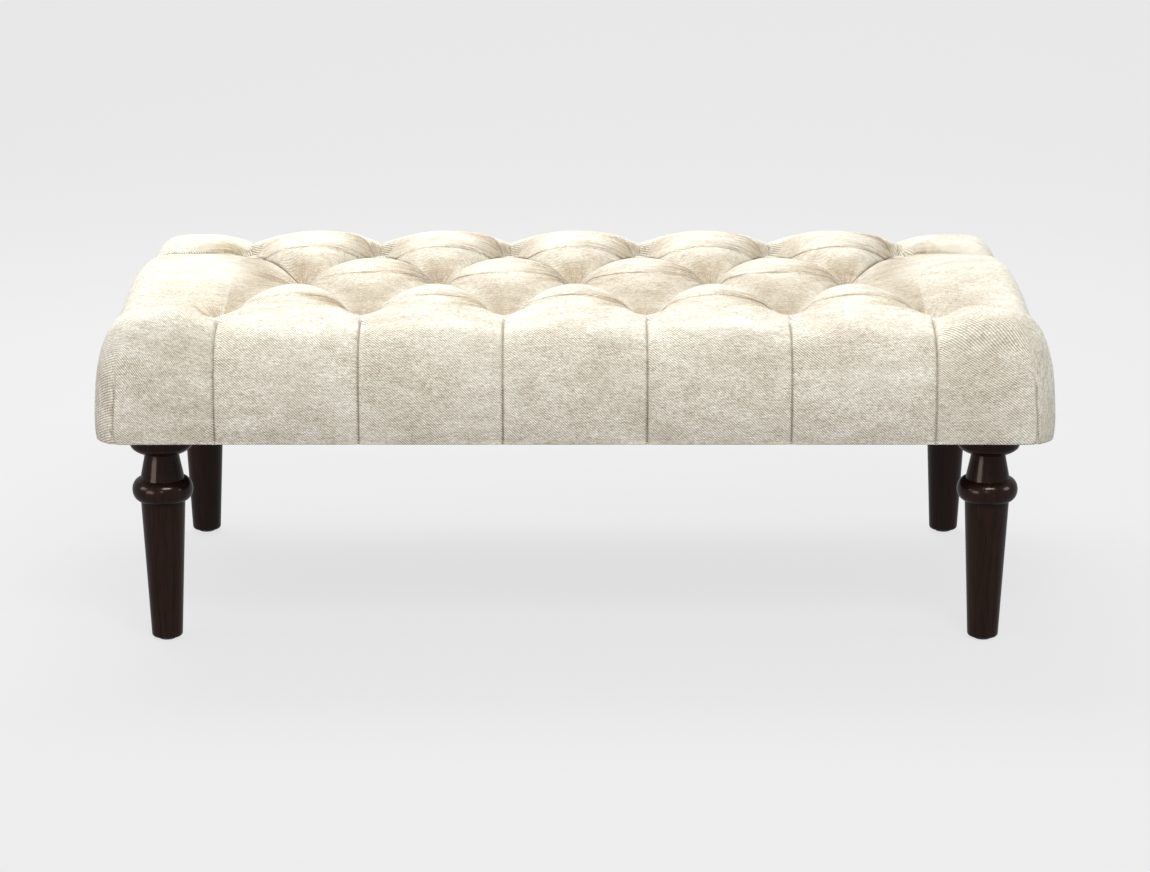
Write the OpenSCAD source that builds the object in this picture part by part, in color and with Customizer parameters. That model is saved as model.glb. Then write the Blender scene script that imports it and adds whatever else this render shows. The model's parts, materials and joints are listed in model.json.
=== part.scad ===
// Button tufted footstool: a long upholstered bench on four turned legs.
// Millimetres, +Z up. The origin is on the floor, under the middle of the seat.
// +X runs along the length, and -Y faces the front.

/* [Seat] */
// Length across the fullest part of the cushion
seat_w = 1220; // [1120:5:1500]
// Depth across the fullest part of the cushion
seat_d = 660; // [600:5:800]
// Radius of the cushion's upright corners, seen from above
corner_r = 60; // [40:1:70]
// How far the puffs roll over the edge, measured inwards
roll_w = 50; // [40:1:60]
// How far the pleats roll over the edge, measured inwards
pleat_roll_w = 40; // [30:1:50]
// How far a pleat lies behind the puffs on the cushion's face
face_puff = 4; // [2:0.5:8]
// How far the hem is drawn in under the fullest line
hem_tuck = 8; // [6:1:12]
// Height of the fullest line above the rails' lower edge
belly_h = 28; // [20:1:36]

/* [Tufting] */
// Number of tufts in the front row, and in the back row
row_tufts = 6; // [4:1:6]
// Distance from the outermost tufts to the cushion's side
tuft_end = 156.25; // [145:0.25:190]
// Distance from the middle row of tufts to the front or back row
row_gap = 217; // [190:1:230]
// Height of the front and back puffs above the pleats
puff_rise = 35.6; // [28:0.1:50]
// Height of the puffs between the rows above the pleats
diamond_rise = 32.6; // [24:0.1:46]
// Height of the two end puffs above the pleats
end_rise = 34; // [24:0.5:46]
// Fall of the pleats from the tufted field to the rolled edge
pleat_fall = 4; // [2:1:12]
// Depth of a tuft below the pleats
tuft_dip = 24; // [12:1:30]
// Reach of the dimple round a tuft
tuft_spread = 20; // [12:1:24]
// Fall of the front and back puffs from the tufts to the rolled edge
edge_fall = 13; // [0:0.5:20]
// How much lower the four corner puffs are there
corner_fall = 4; // [0:0.5:10]
// Foam left between a tuft and the seat deck
tuft_foam = 22; // [16:1:40]

/* [Upholstery] */
// Thickness of the cover, with its backing and seams
cover_t = 1.6; // [1:0.1:2]
// Thickness of the polyester batting, pressed down
batting_t = 10; // [6:1:12]
// Width of the cover turned in under the rails
flange_w = 36; // [32:1:40]
// Thickness of the black cloth under the seat
dust_t = 0.8; // [0.5:0.1:1.2]
// How far the black cloth stays in from the fullest line
dust_inset = 37; // [30:1:42]

/* [Buttons] */
// Diameter of a covered button
button_d = 22; // [16:1:24]
// Height of a covered button
button_h = 7; // [5:0.5:9]
// Wall of the button's cap, cloth and shell together
button_wall = 1.2; // [0.8:0.1:1.6]
// Diameter of the tufting twine
twine_d = 2.4; // [1.6:0.1:3]
// Diameter of the washer that the twine is tied to
washer_d = 22; // [16:1:26]
// Thickness of that washer
washer_t = 2.5; // [1.5:0.5:4]

/* [Frame] */
// Height of the rails
rail_h = 60; // [50:1:75]
// Thickness of the rails
rail_t = 19; // [18:1:22]
// How far the rails stay in from the fullest line of the cushion
rail_inset = 35; // [33:1:37]
// Thickness of the seat deck
deck_t = 12; // [9:1:18]
// Side of a corner block, along each rail
block_w = 100; // [95:1:120]
// Side of the cut that takes off a corner block's inner corner
block_cut = 70; // [60:1:72]
// Height of a corner block
block_h = 38; // [30:1:45]
// Diameter of the corner dowels
dowel_d = 8; // [6:1:10]
// Length of the corner dowels
dowel_l = 38; // [30:1:40]
// How deep a dowel sits in the long rail
dowel_sunk = 14; // [10:1:16]

/* [Legs] */
// Distance from the cushion's side to a leg's axis
leg_inset_x = 79.6; // [76:0.1:90]
// Distance from the cushion's face to a leg's axis
leg_inset_y = 85.4; // [80:0.1:95]
// Length of a turned leg
leg_h = 277.4; // [230:0.1:320]
// Diameter at the foot
foot_d = 40; // [32:1:48]
// Rounding of the foot's edge
foot_round = 4; // [1:0.5:8]
// Diameter at the top of the long taper
taper_top_d = 57; // [48:1:64]
// Diameter of the bead
bead_d = 78; // [66:1:84]
// Height of the bead
bead_h = 29; // [22:1:36]
// Distance from the leg's top down to the bead
bead_drop = 64.5; // [58:0.5:75]
// Diameter at the foot of the neck
neck_low_d = 56.5; // [50:0.5:62]
// Diameter at the top of the neck
neck_top_d = 44; // [36:1:50]
// Diameter of the cup that closes the leg's top
cup_d = 80; // [70:1:90]
// Depth of the cup's curve
cup_h = 16; // [10:1:20]
// Height of the straight band above the cup's curve
cup_band_h = 18; // [10:1:24]
// Height of the nylon glide under each foot
glide_h = 3; // [2:0.5:6]
// Diameter of the glide
glide_d = 24; // [18:1:30]

/* [Leg fixing] */
// Side of the square steel leg plate
plate_w = 60; // [54:1:64]
// Distance between the plate's screws
plate_screw_gap = 40; // [36:1:42]
// Diameter of the plate's threaded boss
boss_d = 14; // [12:0.5:18]
// Height of the boss above the plate
boss_h = 10; // [6:1:14]
// Diameter of the hanger bolt
bolt_d = 8; // [6:1:10]
// Length of the hanger bolt inside the leg
bolt_in_leg = 40; // [30:1:55]
// Length of the hanger bolt above the leg's top
bolt_above = 26; // [20:1:32]

/* [Hidden] */

// Colours, as the photograph shows them or as such pieces are sold
ivory = [0.86, 0.83, 0.76];
espresso = [0.13, 0.10, 0.09];
pine = [0.80, 0.68, 0.50];
birch_ply = [0.78, 0.66, 0.48];
foam_cream = [0.93, 0.88, 0.70];
batting_white = [0.95, 0.95, 0.93];
cloth_black = [0.08, 0.08, 0.08];
zinc = [0.72, 0.72, 0.72];
raw_steel = [0.55, 0.55, 0.56];
twine_tan = [0.76, 0.68, 0.52];
nylon_grey = [0.35, 0.35, 0.35];

// Fits and cutting overruns
$fn = 48;
overrun = 1;
screw_gap = 0.1;
soft_gap = 0.3;
turn_gap = 0.25;

// Screws, dowels, staples and other small hardware
screw_d = 4;
screw_head_d = 8;
screw_head_h = 2.6;
block_screw_bite = 14;
block_screw_share = 0.86;
pocket_d = 10;
cross_screw_l = 60;
deck_screw_l = 35;
deck_screws_long = 6;
deck_screws_short = 3;
deck_screw_end = 95;
plate_screw_l = 18;
pair_low_share = 0.27;
pair_high_share = 0.73;
staple_w = 10;
staple_leg = 8;
staple_wire = 1.2;
staple_crown_t = 0.6;
staple_gap = 62;
staple_end = 40;
cover_staple_inset = 40;
dust_staple_inset = 48;
nail_d = 2.4;
nail_l = 14;
glide_round = 1;
bolt_hole_wide = 4;
twine_hole_d = 4;
deck_hole_d = 8;
core_d = 20;
knot_d = 7;
eye_w = 6;
eye_t = 1.5;
eye_hole_d = 3.2;
eye_hole_drop = 4;
eye_web = 1.5;
loop_r = 4;
button_back_t = 2;
dome_step = 15;
cup_steps = 8;

// Levels, from the floor up
leg_top_z = glide_h + leg_h;
hem_z = leg_top_z + dust_t;
rail_z = hem_z + cover_t;
deck_z = rail_z + rail_h;
foam_z = deck_z + deck_t;
tuft_z = foam_z + tuft_foam + batting_t + cover_t;
pleat_z = tuft_z + tuft_dip;
crest_z = pleat_z + max(puff_rise, diamond_rise, end_rise);
edge_z = pleat_z + puff_rise - edge_fall;
belly_z = rail_z + belly_h;

// Plan sizes, as half widths from the seat's middle
half_w = seat_w / 2;
half_d = seat_d / 2;
rail_x = half_w - rail_inset;
rail_y = half_d - rail_inset;
inner_x = rail_x - rail_t;
inner_y = rail_y - rail_t;
leg_x = half_w - leg_inset_x;
leg_y = half_d - leg_inset_y;
field_x = half_w - tuft_end;
half_pitch = field_x / (row_tufts - 1);
tuft_pitch = 2 * half_pitch;
plate_t = cover_t;

// The cushion's surface.
// A grid covers the tufted field, and rings run from its border over the edge to the hem.
// Each half pitch is cut in `cuts` steps, so every pleat runs through grid points.
cuts = 2;
fan_steps = 6;
cols = 2 * (row_tufts - 1) * cuts;
rows = 2 * cuts;
crest_power = 2.3;

// How fast a puff swells from its tip, and how full its cross-section is
edge_swell = 0.35;
edge_round = 0.8;
diamond_swell = 1.7;
diamond_round = 0.6;
end_swell = 1.4;
end_round = 1.5;
top_ring_share = 0.45;
ring_angles = [62, 38, 16, 0];

// The four corners, and tuft places
signs = [[-1, -1], [1, -1], [-1, 1], [1, 1]];
edge_tufts = [for (side = [-1, 1], i = [0 : row_tufts - 1])
    [(i - (row_tufts - 1) / 2) * tuft_pitch, side * row_gap]];
middle_tufts = [for (i = [0 : row_tufts - 2]) [(i - (row_tufts - 2) / 2) * tuft_pitch, 0]];
tufts = concat(edge_tufts, middle_tufts);

// Height across a puff, as a share: `off` is 0 on its crest line and 1 on a pleat
function across(off, fullness) = pow(max(0, 1 - off * off), fullness);

// Height along a puff, as a share: `wide` grows from 0 at its tip to 1 at its fullest
function along(wide, swell) = wide <= 0 ? 0 : pow(sin(90 * wide), swell);

// 0 in line with a front tuft and 1 in line with a middle tuft
function between_tufts(x) =
    let (h = (x + field_x) / half_pitch)
    abs(h - 2 * round(h / 2));

// The dimple at the nearest tuft
function dimple(e, a) =
    let (
        to_edge_tuft = norm([e * half_pitch, (1 - a) * row_gap]),
        to_middle_tuft = norm([(1 - e) * half_pitch, a * row_gap]),
        reach = min(to_edge_tuft, to_middle_tuft) / tuft_spread
    )
    tuft_dip * exp(-reach * reach);

// Height of the tufted field at a place inside it
function field_z(x, y) =
    let (
        e = between_tufts(x),
        a = abs(y) / row_gap,
        past_pleat = e + a > 1,
        at_end = abs(x) > field_x - half_pitch,
        rise = past_pleat ? puff_rise * along(a, edge_swell) * across((1 - e) / a, edge_round)
            : e + a == 1 ? 0
            : at_end ? end_rise * along(1 - e, end_swell) * across(a / (1 - e), end_round)
            : diamond_rise * along(1 - a, diamond_swell) * across(e / (1 - a), diamond_round)
    )
    pleat_z + rise - dimple(e, a);

// A place on the rolled edge, on a crest that ends at `top_z` or on a pleat, as [inset, height]
function roll_crest(t, top_z) = [
    roll_w * (1 - pow(cos(t), 2 / crest_power)),
    belly_z + (top_z - belly_z) * pow(sin(t), 2 / crest_power)
];
function roll_pleat(t) = [
    face_puff + pleat_roll_w * (1 - cos(t)),
    belly_z + (pleat_z - pleat_fall - belly_z) * sin(t)
];

// A place between the tufts and the rolled edge, `inset` from the fullest line
function top_crest(inset, top_z) =
    let (back = max(0, 1 - inset / roll_w))
    [inset, belly_z + (top_z - belly_z) * pow(1 - pow(back, crest_power), 1 / crest_power)];
function top_pleat(inset) = [inset, pleat_z - pleat_fall / 2];

// One station of the walk round the field: its place, the outline place outward of it,
// how far it is from its puff's crest line, the crest's height at the roll, and its fullness
function front_station(i) =
    let (x = -field_x + i * half_pitch / cuts)
    [[x, -row_gap], [x, -half_d], 1 - between_tufts(x), edge_z, edge_round];
function side_station(j) =
    let (y = -row_gap + j * row_gap / cuts)
    [[field_x, y], [half_w, y], abs(y) / row_gap, pleat_z + end_rise, end_round];
function corner_station(k) =
    let (
        arc = [half_w - corner_r, -half_d + corner_r],
        outline = k == 1 ? [(field_x + arc.x) / 2, -half_d]
            : k == fan_steps - 1 ? [half_w, (arc.y - row_gap) / 2]
            : arc + corner_r * [sin(45 * (k - 2)), -cos(45 * (k - 2))]
    )
    [[field_x, -row_gap], outline, abs(2 * k / fan_steps - 1), edge_z - corner_fall, edge_round];

// The walk, anticlockwise from the front left tuft: two sides, then the same turned half round
function turned(s) = [-s[0], -s[1], s[2], s[3], s[4]];
half_walk = concat(
    [for (i = [0 : cols]) front_station(i)],
    [for (k = [1 : fan_steps - 1]) corner_station(k)],
    [for (j = [0 : rows]) side_station(j)],
    [for (k = [fan_steps - 1 : -1 : 1]) let (s = corner_station(k))
        [[s[0].x, -s[0].y], [s[1].x, -s[1].y], s[2], s[3], s[4]]]
);
walk = concat(half_walk, [for (s = half_walk) turned(s)]);
stations = len(walk);

// A ring point at a station, moved `deep` below the outside of the cushion
function ring_point(s, crest, pleat, lean, deep) =
    let (
        place = pleat + (crest - pleat) * across(s[2], s[4]),
        way = (s[0] - s[1]) / norm(s[0] - s[1]),
        plan = s[1] + way * (place[0] + deep * lean[0])
    )
    [plan.x, plan.y, place[1] - deep * lean[1]];

// The field's points, then a ring of points for each angle of the roll
function field_points(deep) = [for (j = [0 : rows], i = [0 : cols])
    let (x = -field_x + i * half_pitch / cuts, y = -row_gap + j * row_gap / cuts)
    [x, y, field_z(x, y) - deep]];
function top_points(deep) = [for (s = walk)
    let (inset = top_ring_share * norm(s[1] - s[0]))
    ring_point(s, top_crest(inset, s[3]), top_pleat(inset), [0, 1], deep)];
function roll_points(deep) = [for (t = ring_angles, s = walk)
    ring_point(s, roll_crest(t, s[3]), roll_pleat(t), [cos(t), sin(t)], deep)];
function low_ring(inset, z, lean, deep) = [for (s = walk)
    ring_point(s, [inset, z], [inset + face_puff, z], lean, deep)];

// Where a station of the walk meets the field's grid
function field_index(q) =
    let (h = stations / 2, p = q % h, back = q >= h,
        i = p <= cols ? p : cols,
        j = p <= cols + fan_steps - 1 ? 0 : min(rows, p - cols - fan_steps))
    back ? (rows - j) * (cols + 1) + cols - i : j * (cols + 1) + i;
field_count = (cols + 1) * (rows + 1);
function walk_index(ring, q) =
    ring == 0 ? field_index(q % stations) : field_count + (ring - 1) * stations + q % stations;

// Two triangles of a grid cell, split along the way that the pleats run there
function split(a, b, c, d, rising) = rising ? [[a, b, c], [a, c, d]] : [[a, b, d], [b, c, d]];
function field_faces() = [for (j = [0 : rows - 1], i = [0 : cols - 1])
    let (
        a = j * (cols + 1) + i,
        even = floor(i / cuts) % 2 == 0,
        rising = even == (j < cuts)
    )
    each split(a, a + 1, a + cols + 2, a + cols + 1, rising)];
function strip_faces(rings) = [for (r = [0 : rings - 1], q = [0 : stations - 1])
    let (
        a = walk_index(r, q),
        b = walk_index(r, q + 1),
        c = walk_index(r + 1, q + 1),
        d = walk_index(r + 1, q)
    )
    each [for (f = split(a, d, c, b, q % 2 == 0))
        if (f[0] != f[1] && f[1] != f[2] && f[2] != f[0]) f]];
function flipped(faces) = [for (f = faces) [f[2], f[1], f[0]]];
function shifted(faces, by) = [for (f = faces) [f[0] + by, f[1] + by, f[2] + by]];

// A closed layer between two depths: its two skins are joined at their lowest ring.
module layer(outer, inner, rings) {
    count = len(outer);
    skin = concat(field_faces(), strip_faces(rings));
    last = field_count + (rings - 1) * stations;
    rim = [for (q = [0 : stations - 1])
        let (a = last + q, b = last + (q + 1) % stations)
        each [[a, a + count, b + count], [a, b + count, b]]];
    faces = concat(skin, shifted(flipped(skin), count), rim);
    polyhedron(concat(outer, inner), flipped(faces));
}

// A closed solid under one surface, flat at its lowest ring
module filled(outer, rings, low_z) {
    last = field_count + (rings - 1) * stations;
    middle = len(outer);
    skin = concat(field_faces(), strip_faces(rings));
    base = [for (q = [0 : stations - 1]) [last + q, middle, last + (q + 1) % stations]];
    polyhedron(concat(outer, [[0, 0, low_z]]), flipped(concat(skin, base)));
}

module at_tufts() {
    for (t = tufts) translate([t.x, t.y, 0]) children();
}

module at_legs() {
    for (s = signs) translate([s.x * leg_x, s.y * leg_y, 0]) children();
}

// Wood screw along -Z, with its flat head's top at zero
module screw(length) {
    r = screw_d / 2;
    rotate_extrude() polygon([
        [0, 0], [screw_head_d / 2, 0], [r, -screw_head_h], [r, r - length], [0, -length]
    ]);
}

// Room for that screw, with its head flush
module screw_room(length) {
    r = screw_d / 2 + screw_gap;
    head_r = screw_head_d / 2 + screw_gap;
    rotate_extrude() polygon([
        [0, overrun], [head_r, overrun], [head_r, 0], [r, -screw_head_h], [r, screw_d / 2 - length],
        [0, -length - screw_gap]
    ]);
}

// Frame

// A cross rail stands midway between the twine holes of two neighbouring rows
cross_rail_x = tuft_pitch + half_pitch / 2;

dowel_heights = [rail_z + rail_h * pair_low_share, rail_z + rail_h * pair_high_share];

module at_dowels() {
    for (s = signs, z = dowel_heights)
        translate([s.x * (rail_x - rail_t / 2), s.y * (inner_y + dowel_sunk), z])
            rotate([s.y * 90, 0, 0])
                children();
}

module dowel_room() {
    at_dowels()
        translate([0, 0, -screw_gap])
            cylinder(h = dowel_l + 2 * screw_gap, d = dowel_d + 2 * screw_gap);
}

module at_cross_screws() {
    for (side = [-1, 1], end = [-1, 1], z = dowel_heights)
        translate([side * cross_rail_x, end * rail_y, z])
            rotate([-end * 90, 0, 0])
                children();
}

// Screws through the corner blocks: one into the long rail and one into the short rail
block_screw_z = rail_z + block_h / 2;
block_screw_at = block_w * block_screw_share;
block_screw_depth = block_w + block_w - block_cut - block_screw_at;
block_screw_l = block_screw_depth + block_screw_bite;

module at_block_screws() {
    for (s = signs) {
        translate([s.x * (inner_x - block_screw_at), s.y * (inner_y - block_screw_depth), block_screw_z])
            rotate([s.y * 90, 0, 0])
                children();
        translate([s.x * (inner_x - block_screw_depth), s.y * (inner_y - block_screw_at), block_screw_z])
            rotate([0, -s.x * 90, 0])
                children();
    }
}

long_screw_step = 2 * (rail_x - deck_screw_end) / (deck_screws_long - 1);
short_screw_step = 2 * (rail_y - deck_screw_end) / (deck_screws_short - 1);

module at_deck_screws() {
    for (side = [-1, 1], i = [0 : deck_screws_long - 1])
        translate([deck_screw_end - rail_x + i * long_screw_step, side * (rail_y - rail_t / 2), foam_z])
            children();
    for (side = [-1, 1], i = [0 : deck_screws_short - 1])
        translate([side * (rail_x - rail_t / 2), deck_screw_end - rail_y + i * short_screw_step, foam_z])
            children();
}

module at_plate_screws() {
    at_legs()
        for (s = signs)
            translate([s.x * plate_screw_gap / 2, s.y * plate_screw_gap / 2, hem_z])
                rotate([180, 0, 0])
                    children();
}

// Everything that is bored out of the rails and blocks
module frame_rooms() {
    dowel_room();
    at_cross_screws() screw_room(cross_screw_l);
    at_block_screws() screw_room(block_screw_l);
    at_deck_screws() screw_room(deck_screw_l);
    at_plate_screws() screw_room(plate_screw_l);
    at_legs()
        translate([0, 0, rail_z - overrun])
            cylinder(h = bolt_above + overrun, d = boss_d + bolt_hole_wide);
}

module long_rail(side) {
    color(pine)
        difference() {
            translate([-rail_x, side > 0 ? inner_y : -rail_y, rail_z])
                cube([2 * rail_x, rail_t, rail_h]);
            frame_rooms();
        }
}

module short_rail(side) {
    color(pine)
        difference() {
            translate([side > 0 ? inner_x : -rail_x, -inner_y, rail_z])
                cube([rail_t, 2 * inner_y, rail_h]);
            frame_rooms();
        }
}

module cross_rail(side) {
    color(pine)
        difference() {
            translate([side * cross_rail_x - rail_t / 2, -inner_y, rail_z])
                cube([rail_t, 2 * inner_y, rail_h]);
            at_cross_screws() screw_room(cross_screw_l);
        }
}

module corner_block(s) {
    color(pine)
        difference() {
            translate([s.x * inner_x, s.y * inner_y, rail_z])
                mirror([s.x > 0 ? 1 : 0, 0, 0])
                    mirror([0, s.y > 0 ? 1 : 0, 0])
                        linear_extrude(block_h)
                            polygon([
                                [0, 0], [block_w, 0], [block_w, block_w - block_cut],
                                [block_w - block_cut, block_w], [0, block_w]
                            ]);
            frame_rooms();
            at_block_screws() cylinder(h = block_w, d = pocket_d);
        }
}

module front_rail() { long_rail(-1); }
module back_rail() { long_rail(1); }
module left_rail() { short_rail(-1); }
module right_rail() { short_rail(1); }
module left_cross_rail() { cross_rail(-1); }
module right_cross_rail() { cross_rail(1); }
module corner_block_front_left() { corner_block([-1, -1]); }
module corner_block_front_right() { corner_block([1, -1]); }
module corner_block_back_left() { corner_block([-1, 1]); }
module corner_block_back_right() { corner_block([1, 1]); }

module corner_dowels() {
    color(birch_ply) at_dowels() cylinder(h = dowel_l, d = dowel_d);
}

module corner_block_screws() {
    color(zinc) at_block_screws() screw(block_screw_l);
}

module cross_rail_screws() {
    color(zinc) at_cross_screws() screw(cross_screw_l);
}

module seat_deck() {
    color(birch_ply)
        difference() {
            translate([-rail_x, -rail_y, deck_z]) cube([2 * rail_x, 2 * rail_y, deck_t]);
            at_tufts()
                translate([0, 0, deck_z - overrun])
                    cylinder(h = deck_t + 2 * overrun, d = deck_hole_d);
            at_deck_screws() screw_room(deck_screw_l);
        }
}

module deck_screws() {
    color(zinc) at_deck_screws() screw(deck_screw_l);
}

// Padding and cover

hem_lean = [1, -1];
flange_lean = [0, -1];
side_lean = [1, 0];
foam_deep = cover_t + batting_t;
cover_rings = len(ring_angles) + 3;
pad_rings = len(ring_angles) + 2;

function cover_surface(deep) = concat(
    field_points(deep), top_points(deep), roll_points(deep),
    low_ring(hem_tuck, hem_z, hem_lean, deep),
    low_ring(hem_tuck + flange_w, hem_z, flange_lean, deep)
);
function pad_surface(deep) = concat(
    field_points(deep), top_points(deep), roll_points(deep),
    low_ring(hem_tuck, rail_z + soft_gap, side_lean, deep)
);

module tuft_bore(d) {
    at_tufts()
        translate([0, 0, foam_z])
            cylinder(h = crest_z - foam_z, d = d);
}

module foam_block() {
    color(foam_cream)
        difference() {
            filled(pad_surface(foam_deep), pad_rings, rail_z + soft_gap);
            translate([-rail_x, -rail_y, hem_z])
                cube([2 * rail_x, 2 * rail_y, foam_z - hem_z]);
            at_tufts()
                translate([0, 0, foam_z - overrun])
                    cylinder(h = crest_z - foam_z, d = core_d);
        }
}

module batting() {
    color(batting_white)
        difference() {
            layer(pad_surface(cover_t), pad_surface(foam_deep), pad_rings);
            tuft_bore(twine_hole_d);
        }
}

module seat_cover() {
    color(ivory)
        difference() {
            layer(cover_surface(0), cover_surface(cover_t), cover_rings);
            tuft_bore(twine_hole_d);
        }
}

// Buttons: each rests on the flanks of its tuft

tuft_slope = (field_z(-field_x + half_pitch / cuts, -row_gap) - tuft_z) * cuts / half_pitch;
button_z = tuft_z + tuft_slope * button_d / 2 + soft_gap;
eye_z = button_z + soft_gap - eye_hole_drop;
knot_z = deck_z - washer_t - knot_d / 2;

// A quarter of an ellipse, from its rim to its top
function dome(r, h) = [for (t = [0 : dome_step : 90]) [r * cos(t), h * sin(t)]];

module button_caps() {
    r = button_d / 2;
    inside = dome(r - button_wall, button_h - button_wall);
    color(ivory)
        at_tufts()
            translate([0, 0, button_z])
                rotate_extrude()
                    polygon(concat(
                        dome(r, button_h), [for (i = [len(inside) - 1 : -1 : 0]) inside[i]]
                    ));
}

module button_backs() {
    r = button_d / 2 - button_wall;
    lip = sqrt(1 - pow(button_back_t / (button_h - button_wall), 2));
    color(raw_steel)
        at_tufts()
            translate([0, 0, button_z + soft_gap]) {
                cylinder(h = button_back_t - soft_gap, r = r * lip - turn_gap);
                difference() {
                    translate([-eye_w / 2, -eye_t / 2, -eye_hole_drop - eye_hole_d / 2 - eye_web])
                        cube([eye_w, eye_t, eye_hole_drop + eye_hole_d / 2 + eye_web + overrun]);
                    translate([0, eye_t / 2 + overrun, -eye_hole_drop])
                        rotate([90, 0, 0])
                            cylinder(h = eye_t + 2 * overrun, d = eye_hole_d);
                }
            }
}

module tufting_twine() {
    color(twine_tan)
        at_tufts() {
            translate([0, 0, eye_z - loop_r])
                rotate([90, 0, 90])
                    rotate_extrude()
                        translate([loop_r, 0])
                            circle(d = twine_d);
            translate([0, 0, knot_z])
                cylinder(h = eye_z - 2 * loop_r - knot_z, d = twine_d);
            translate([0, 0, knot_z]) sphere(d = knot_d);
        }
}

module twine_washers() {
    color(nylon_grey)
        at_tufts()
            translate([0, 0, deck_z - washer_t])
                difference() {
                    cylinder(h = washer_t, d = washer_d);
                    translate([0, 0, -overrun])
                        cylinder(h = washer_t + 2 * overrun, d = twine_hole_d);
                }
}

// Staples and the black cloth under the seat

// A staple across the X axis, driven up, with its crown's lower face at zero
module staple() {
    rotate([90, 0, 0])
        linear_extrude(staple_wire, center = true)
            polygon([
                [-staple_w / 2, 0], [staple_w / 2, 0], [staple_w / 2, staple_leg],
                [staple_w / 2 - staple_wire, staple_leg], [staple_w / 2 - staple_wire, staple_crown_t],
                [staple_wire - staple_w / 2, staple_crown_t], [staple_wire - staple_w / 2, staple_leg],
                [-staple_w / 2, staple_leg]
            ]);
}

// Staples in rows along both long sides and both short sides, `inset` from the fullest line
module staple_rows(inset, z, run_x, run_y) {
    count_x = round(run_x / staple_gap);
    count_y = round(run_y / staple_gap);
    for (side = [-1, 1]) {
        for (i = [0 : count_x])
            translate([i * run_x / count_x - run_x / 2, side * (half_d - inset), z]) staple();
        for (i = [0 : count_y])
            translate([side * (half_w - inset), i * run_y / count_y - run_y / 2, z])
                rotate([0, 0, 90])
                    staple();
    }
}

module cover_staples() {
    color(zinc)
        staple_rows(cover_staple_inset, hem_z, 2 * (rail_x - staple_end), 2 * (rail_y - staple_end));
}

// These stay clear of the leg tops
module dust_cover_staples() {
    clear = cup_d / 2 + staple_w;
    color(zinc)
        staple_rows(
            dust_staple_inset, leg_top_z - staple_crown_t, 2 * (leg_x - clear), 2 * (leg_y - clear)
        );
}

module dust_cover() {
    dust_x = half_w - dust_inset;
    dust_y = half_d - dust_inset;
    color(cloth_black)
        difference() {
            translate([0, 0, leg_top_z])
                linear_extrude(dust_t)
                    polygon([
                        [corner_r - dust_x, -dust_y], [dust_x - corner_r, -dust_y],
                        [dust_x, corner_r - dust_y], [dust_x, dust_y - corner_r],
                        [dust_x - corner_r, dust_y], [corner_r - dust_x, dust_y],
                        [-dust_x, dust_y - corner_r], [-dust_x, corner_r - dust_y]
                    ]);
            at_legs()
                translate([0, 0, leg_top_z - overrun])
                    cylinder(h = dust_t + 2 * overrun, d = bolt_d + 2 * turn_gap);
        }
}

// Legs and their fixings

// The outline of a leg, from the foot's middle to the middle of its top
module leg_outline() {
    foot_r = foot_d / 2;
    bead_low = leg_h - bead_drop - bead_h;
    bead_mid = bead_low + bead_h / 2;
    bead_core = (taper_top_d + neck_low_d) / 4;
    cup_low = leg_h - cup_band_h - cup_h;
    cup_start = asin(neck_top_d / cup_d);
    polygon(concat(
        [[0, 0]],
        [for (t = [-90 : 15 : 0])
            [foot_r - foot_round + foot_round * cos(t), foot_round + foot_round * sin(t)]],
        [[taper_top_d / 2, bead_low]],
        [for (t = [-75 : 15 : 75])
            [bead_core + (bead_d / 2 - bead_core) * cos(t), bead_mid + bead_h / 2 * sin(t)]],
        [[neck_low_d / 2, bead_low + bead_h]],
        [for (k = [0 : cup_steps]) let (t = cup_start + (90 - cup_start) * k / cup_steps)
            [cup_d / 2 * sin(t), cup_low + cup_h * (1 - cos(t))]],
        [[cup_d / 2, leg_h], [0, leg_h]]
    ));
}

module leg(s) {
    color(espresso)
        translate([s.x * leg_x, s.y * leg_y, glide_h])
            difference() {
                rotate_extrude() leg_outline();
                translate([0, 0, leg_h - bolt_in_leg - turn_gap])
                    cylinder(h = bolt_in_leg + turn_gap + overrun, d = bolt_d + 2 * screw_gap);
                translate([0, 0, -overrun])
                    cylinder(h = nail_l + overrun + turn_gap, d = nail_d + 2 * screw_gap);
            }
}

module leg_front_left() { leg([-1, -1]); }
module leg_front_right() { leg([1, -1]); }
module leg_back_left() { leg([-1, 1]); }
module leg_back_right() { leg([1, 1]); }

module leg_plates() {
    color(raw_steel)
        difference() {
            at_legs() {
                translate([-plate_w / 2, -plate_w / 2, hem_z]) cube([plate_w, plate_w, plate_t]);
                translate([0, 0, hem_z]) cylinder(h = boss_h, d = boss_d);
            }
            at_legs()
                translate([0, 0, hem_z - overrun])
                    cylinder(h = boss_h + 2 * overrun, d = bolt_d + 2 * screw_gap);
            at_plate_screws() screw_room(plate_screw_l);
        }
}

module leg_plate_screws() {
    color(zinc) at_plate_screws() screw(plate_screw_l);
}

module hanger_bolts() {
    color(zinc)
        at_legs()
            translate([0, 0, leg_top_z - bolt_in_leg])
                cylinder(h = bolt_in_leg + bolt_above, d = bolt_d);
}

module foot_glides() {
    color(nylon_grey)
        at_legs()
            rotate_extrude()
                polygon([
                    [0, 0], [glide_d / 2 - glide_round, 0], [glide_d / 2, glide_round],
                    [glide_d / 2, glide_h], [nail_d / 2, glide_h],
                    [nail_d / 2, glide_h + nail_l - nail_d], [0, glide_h + nail_l]
                ]);
}

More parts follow.
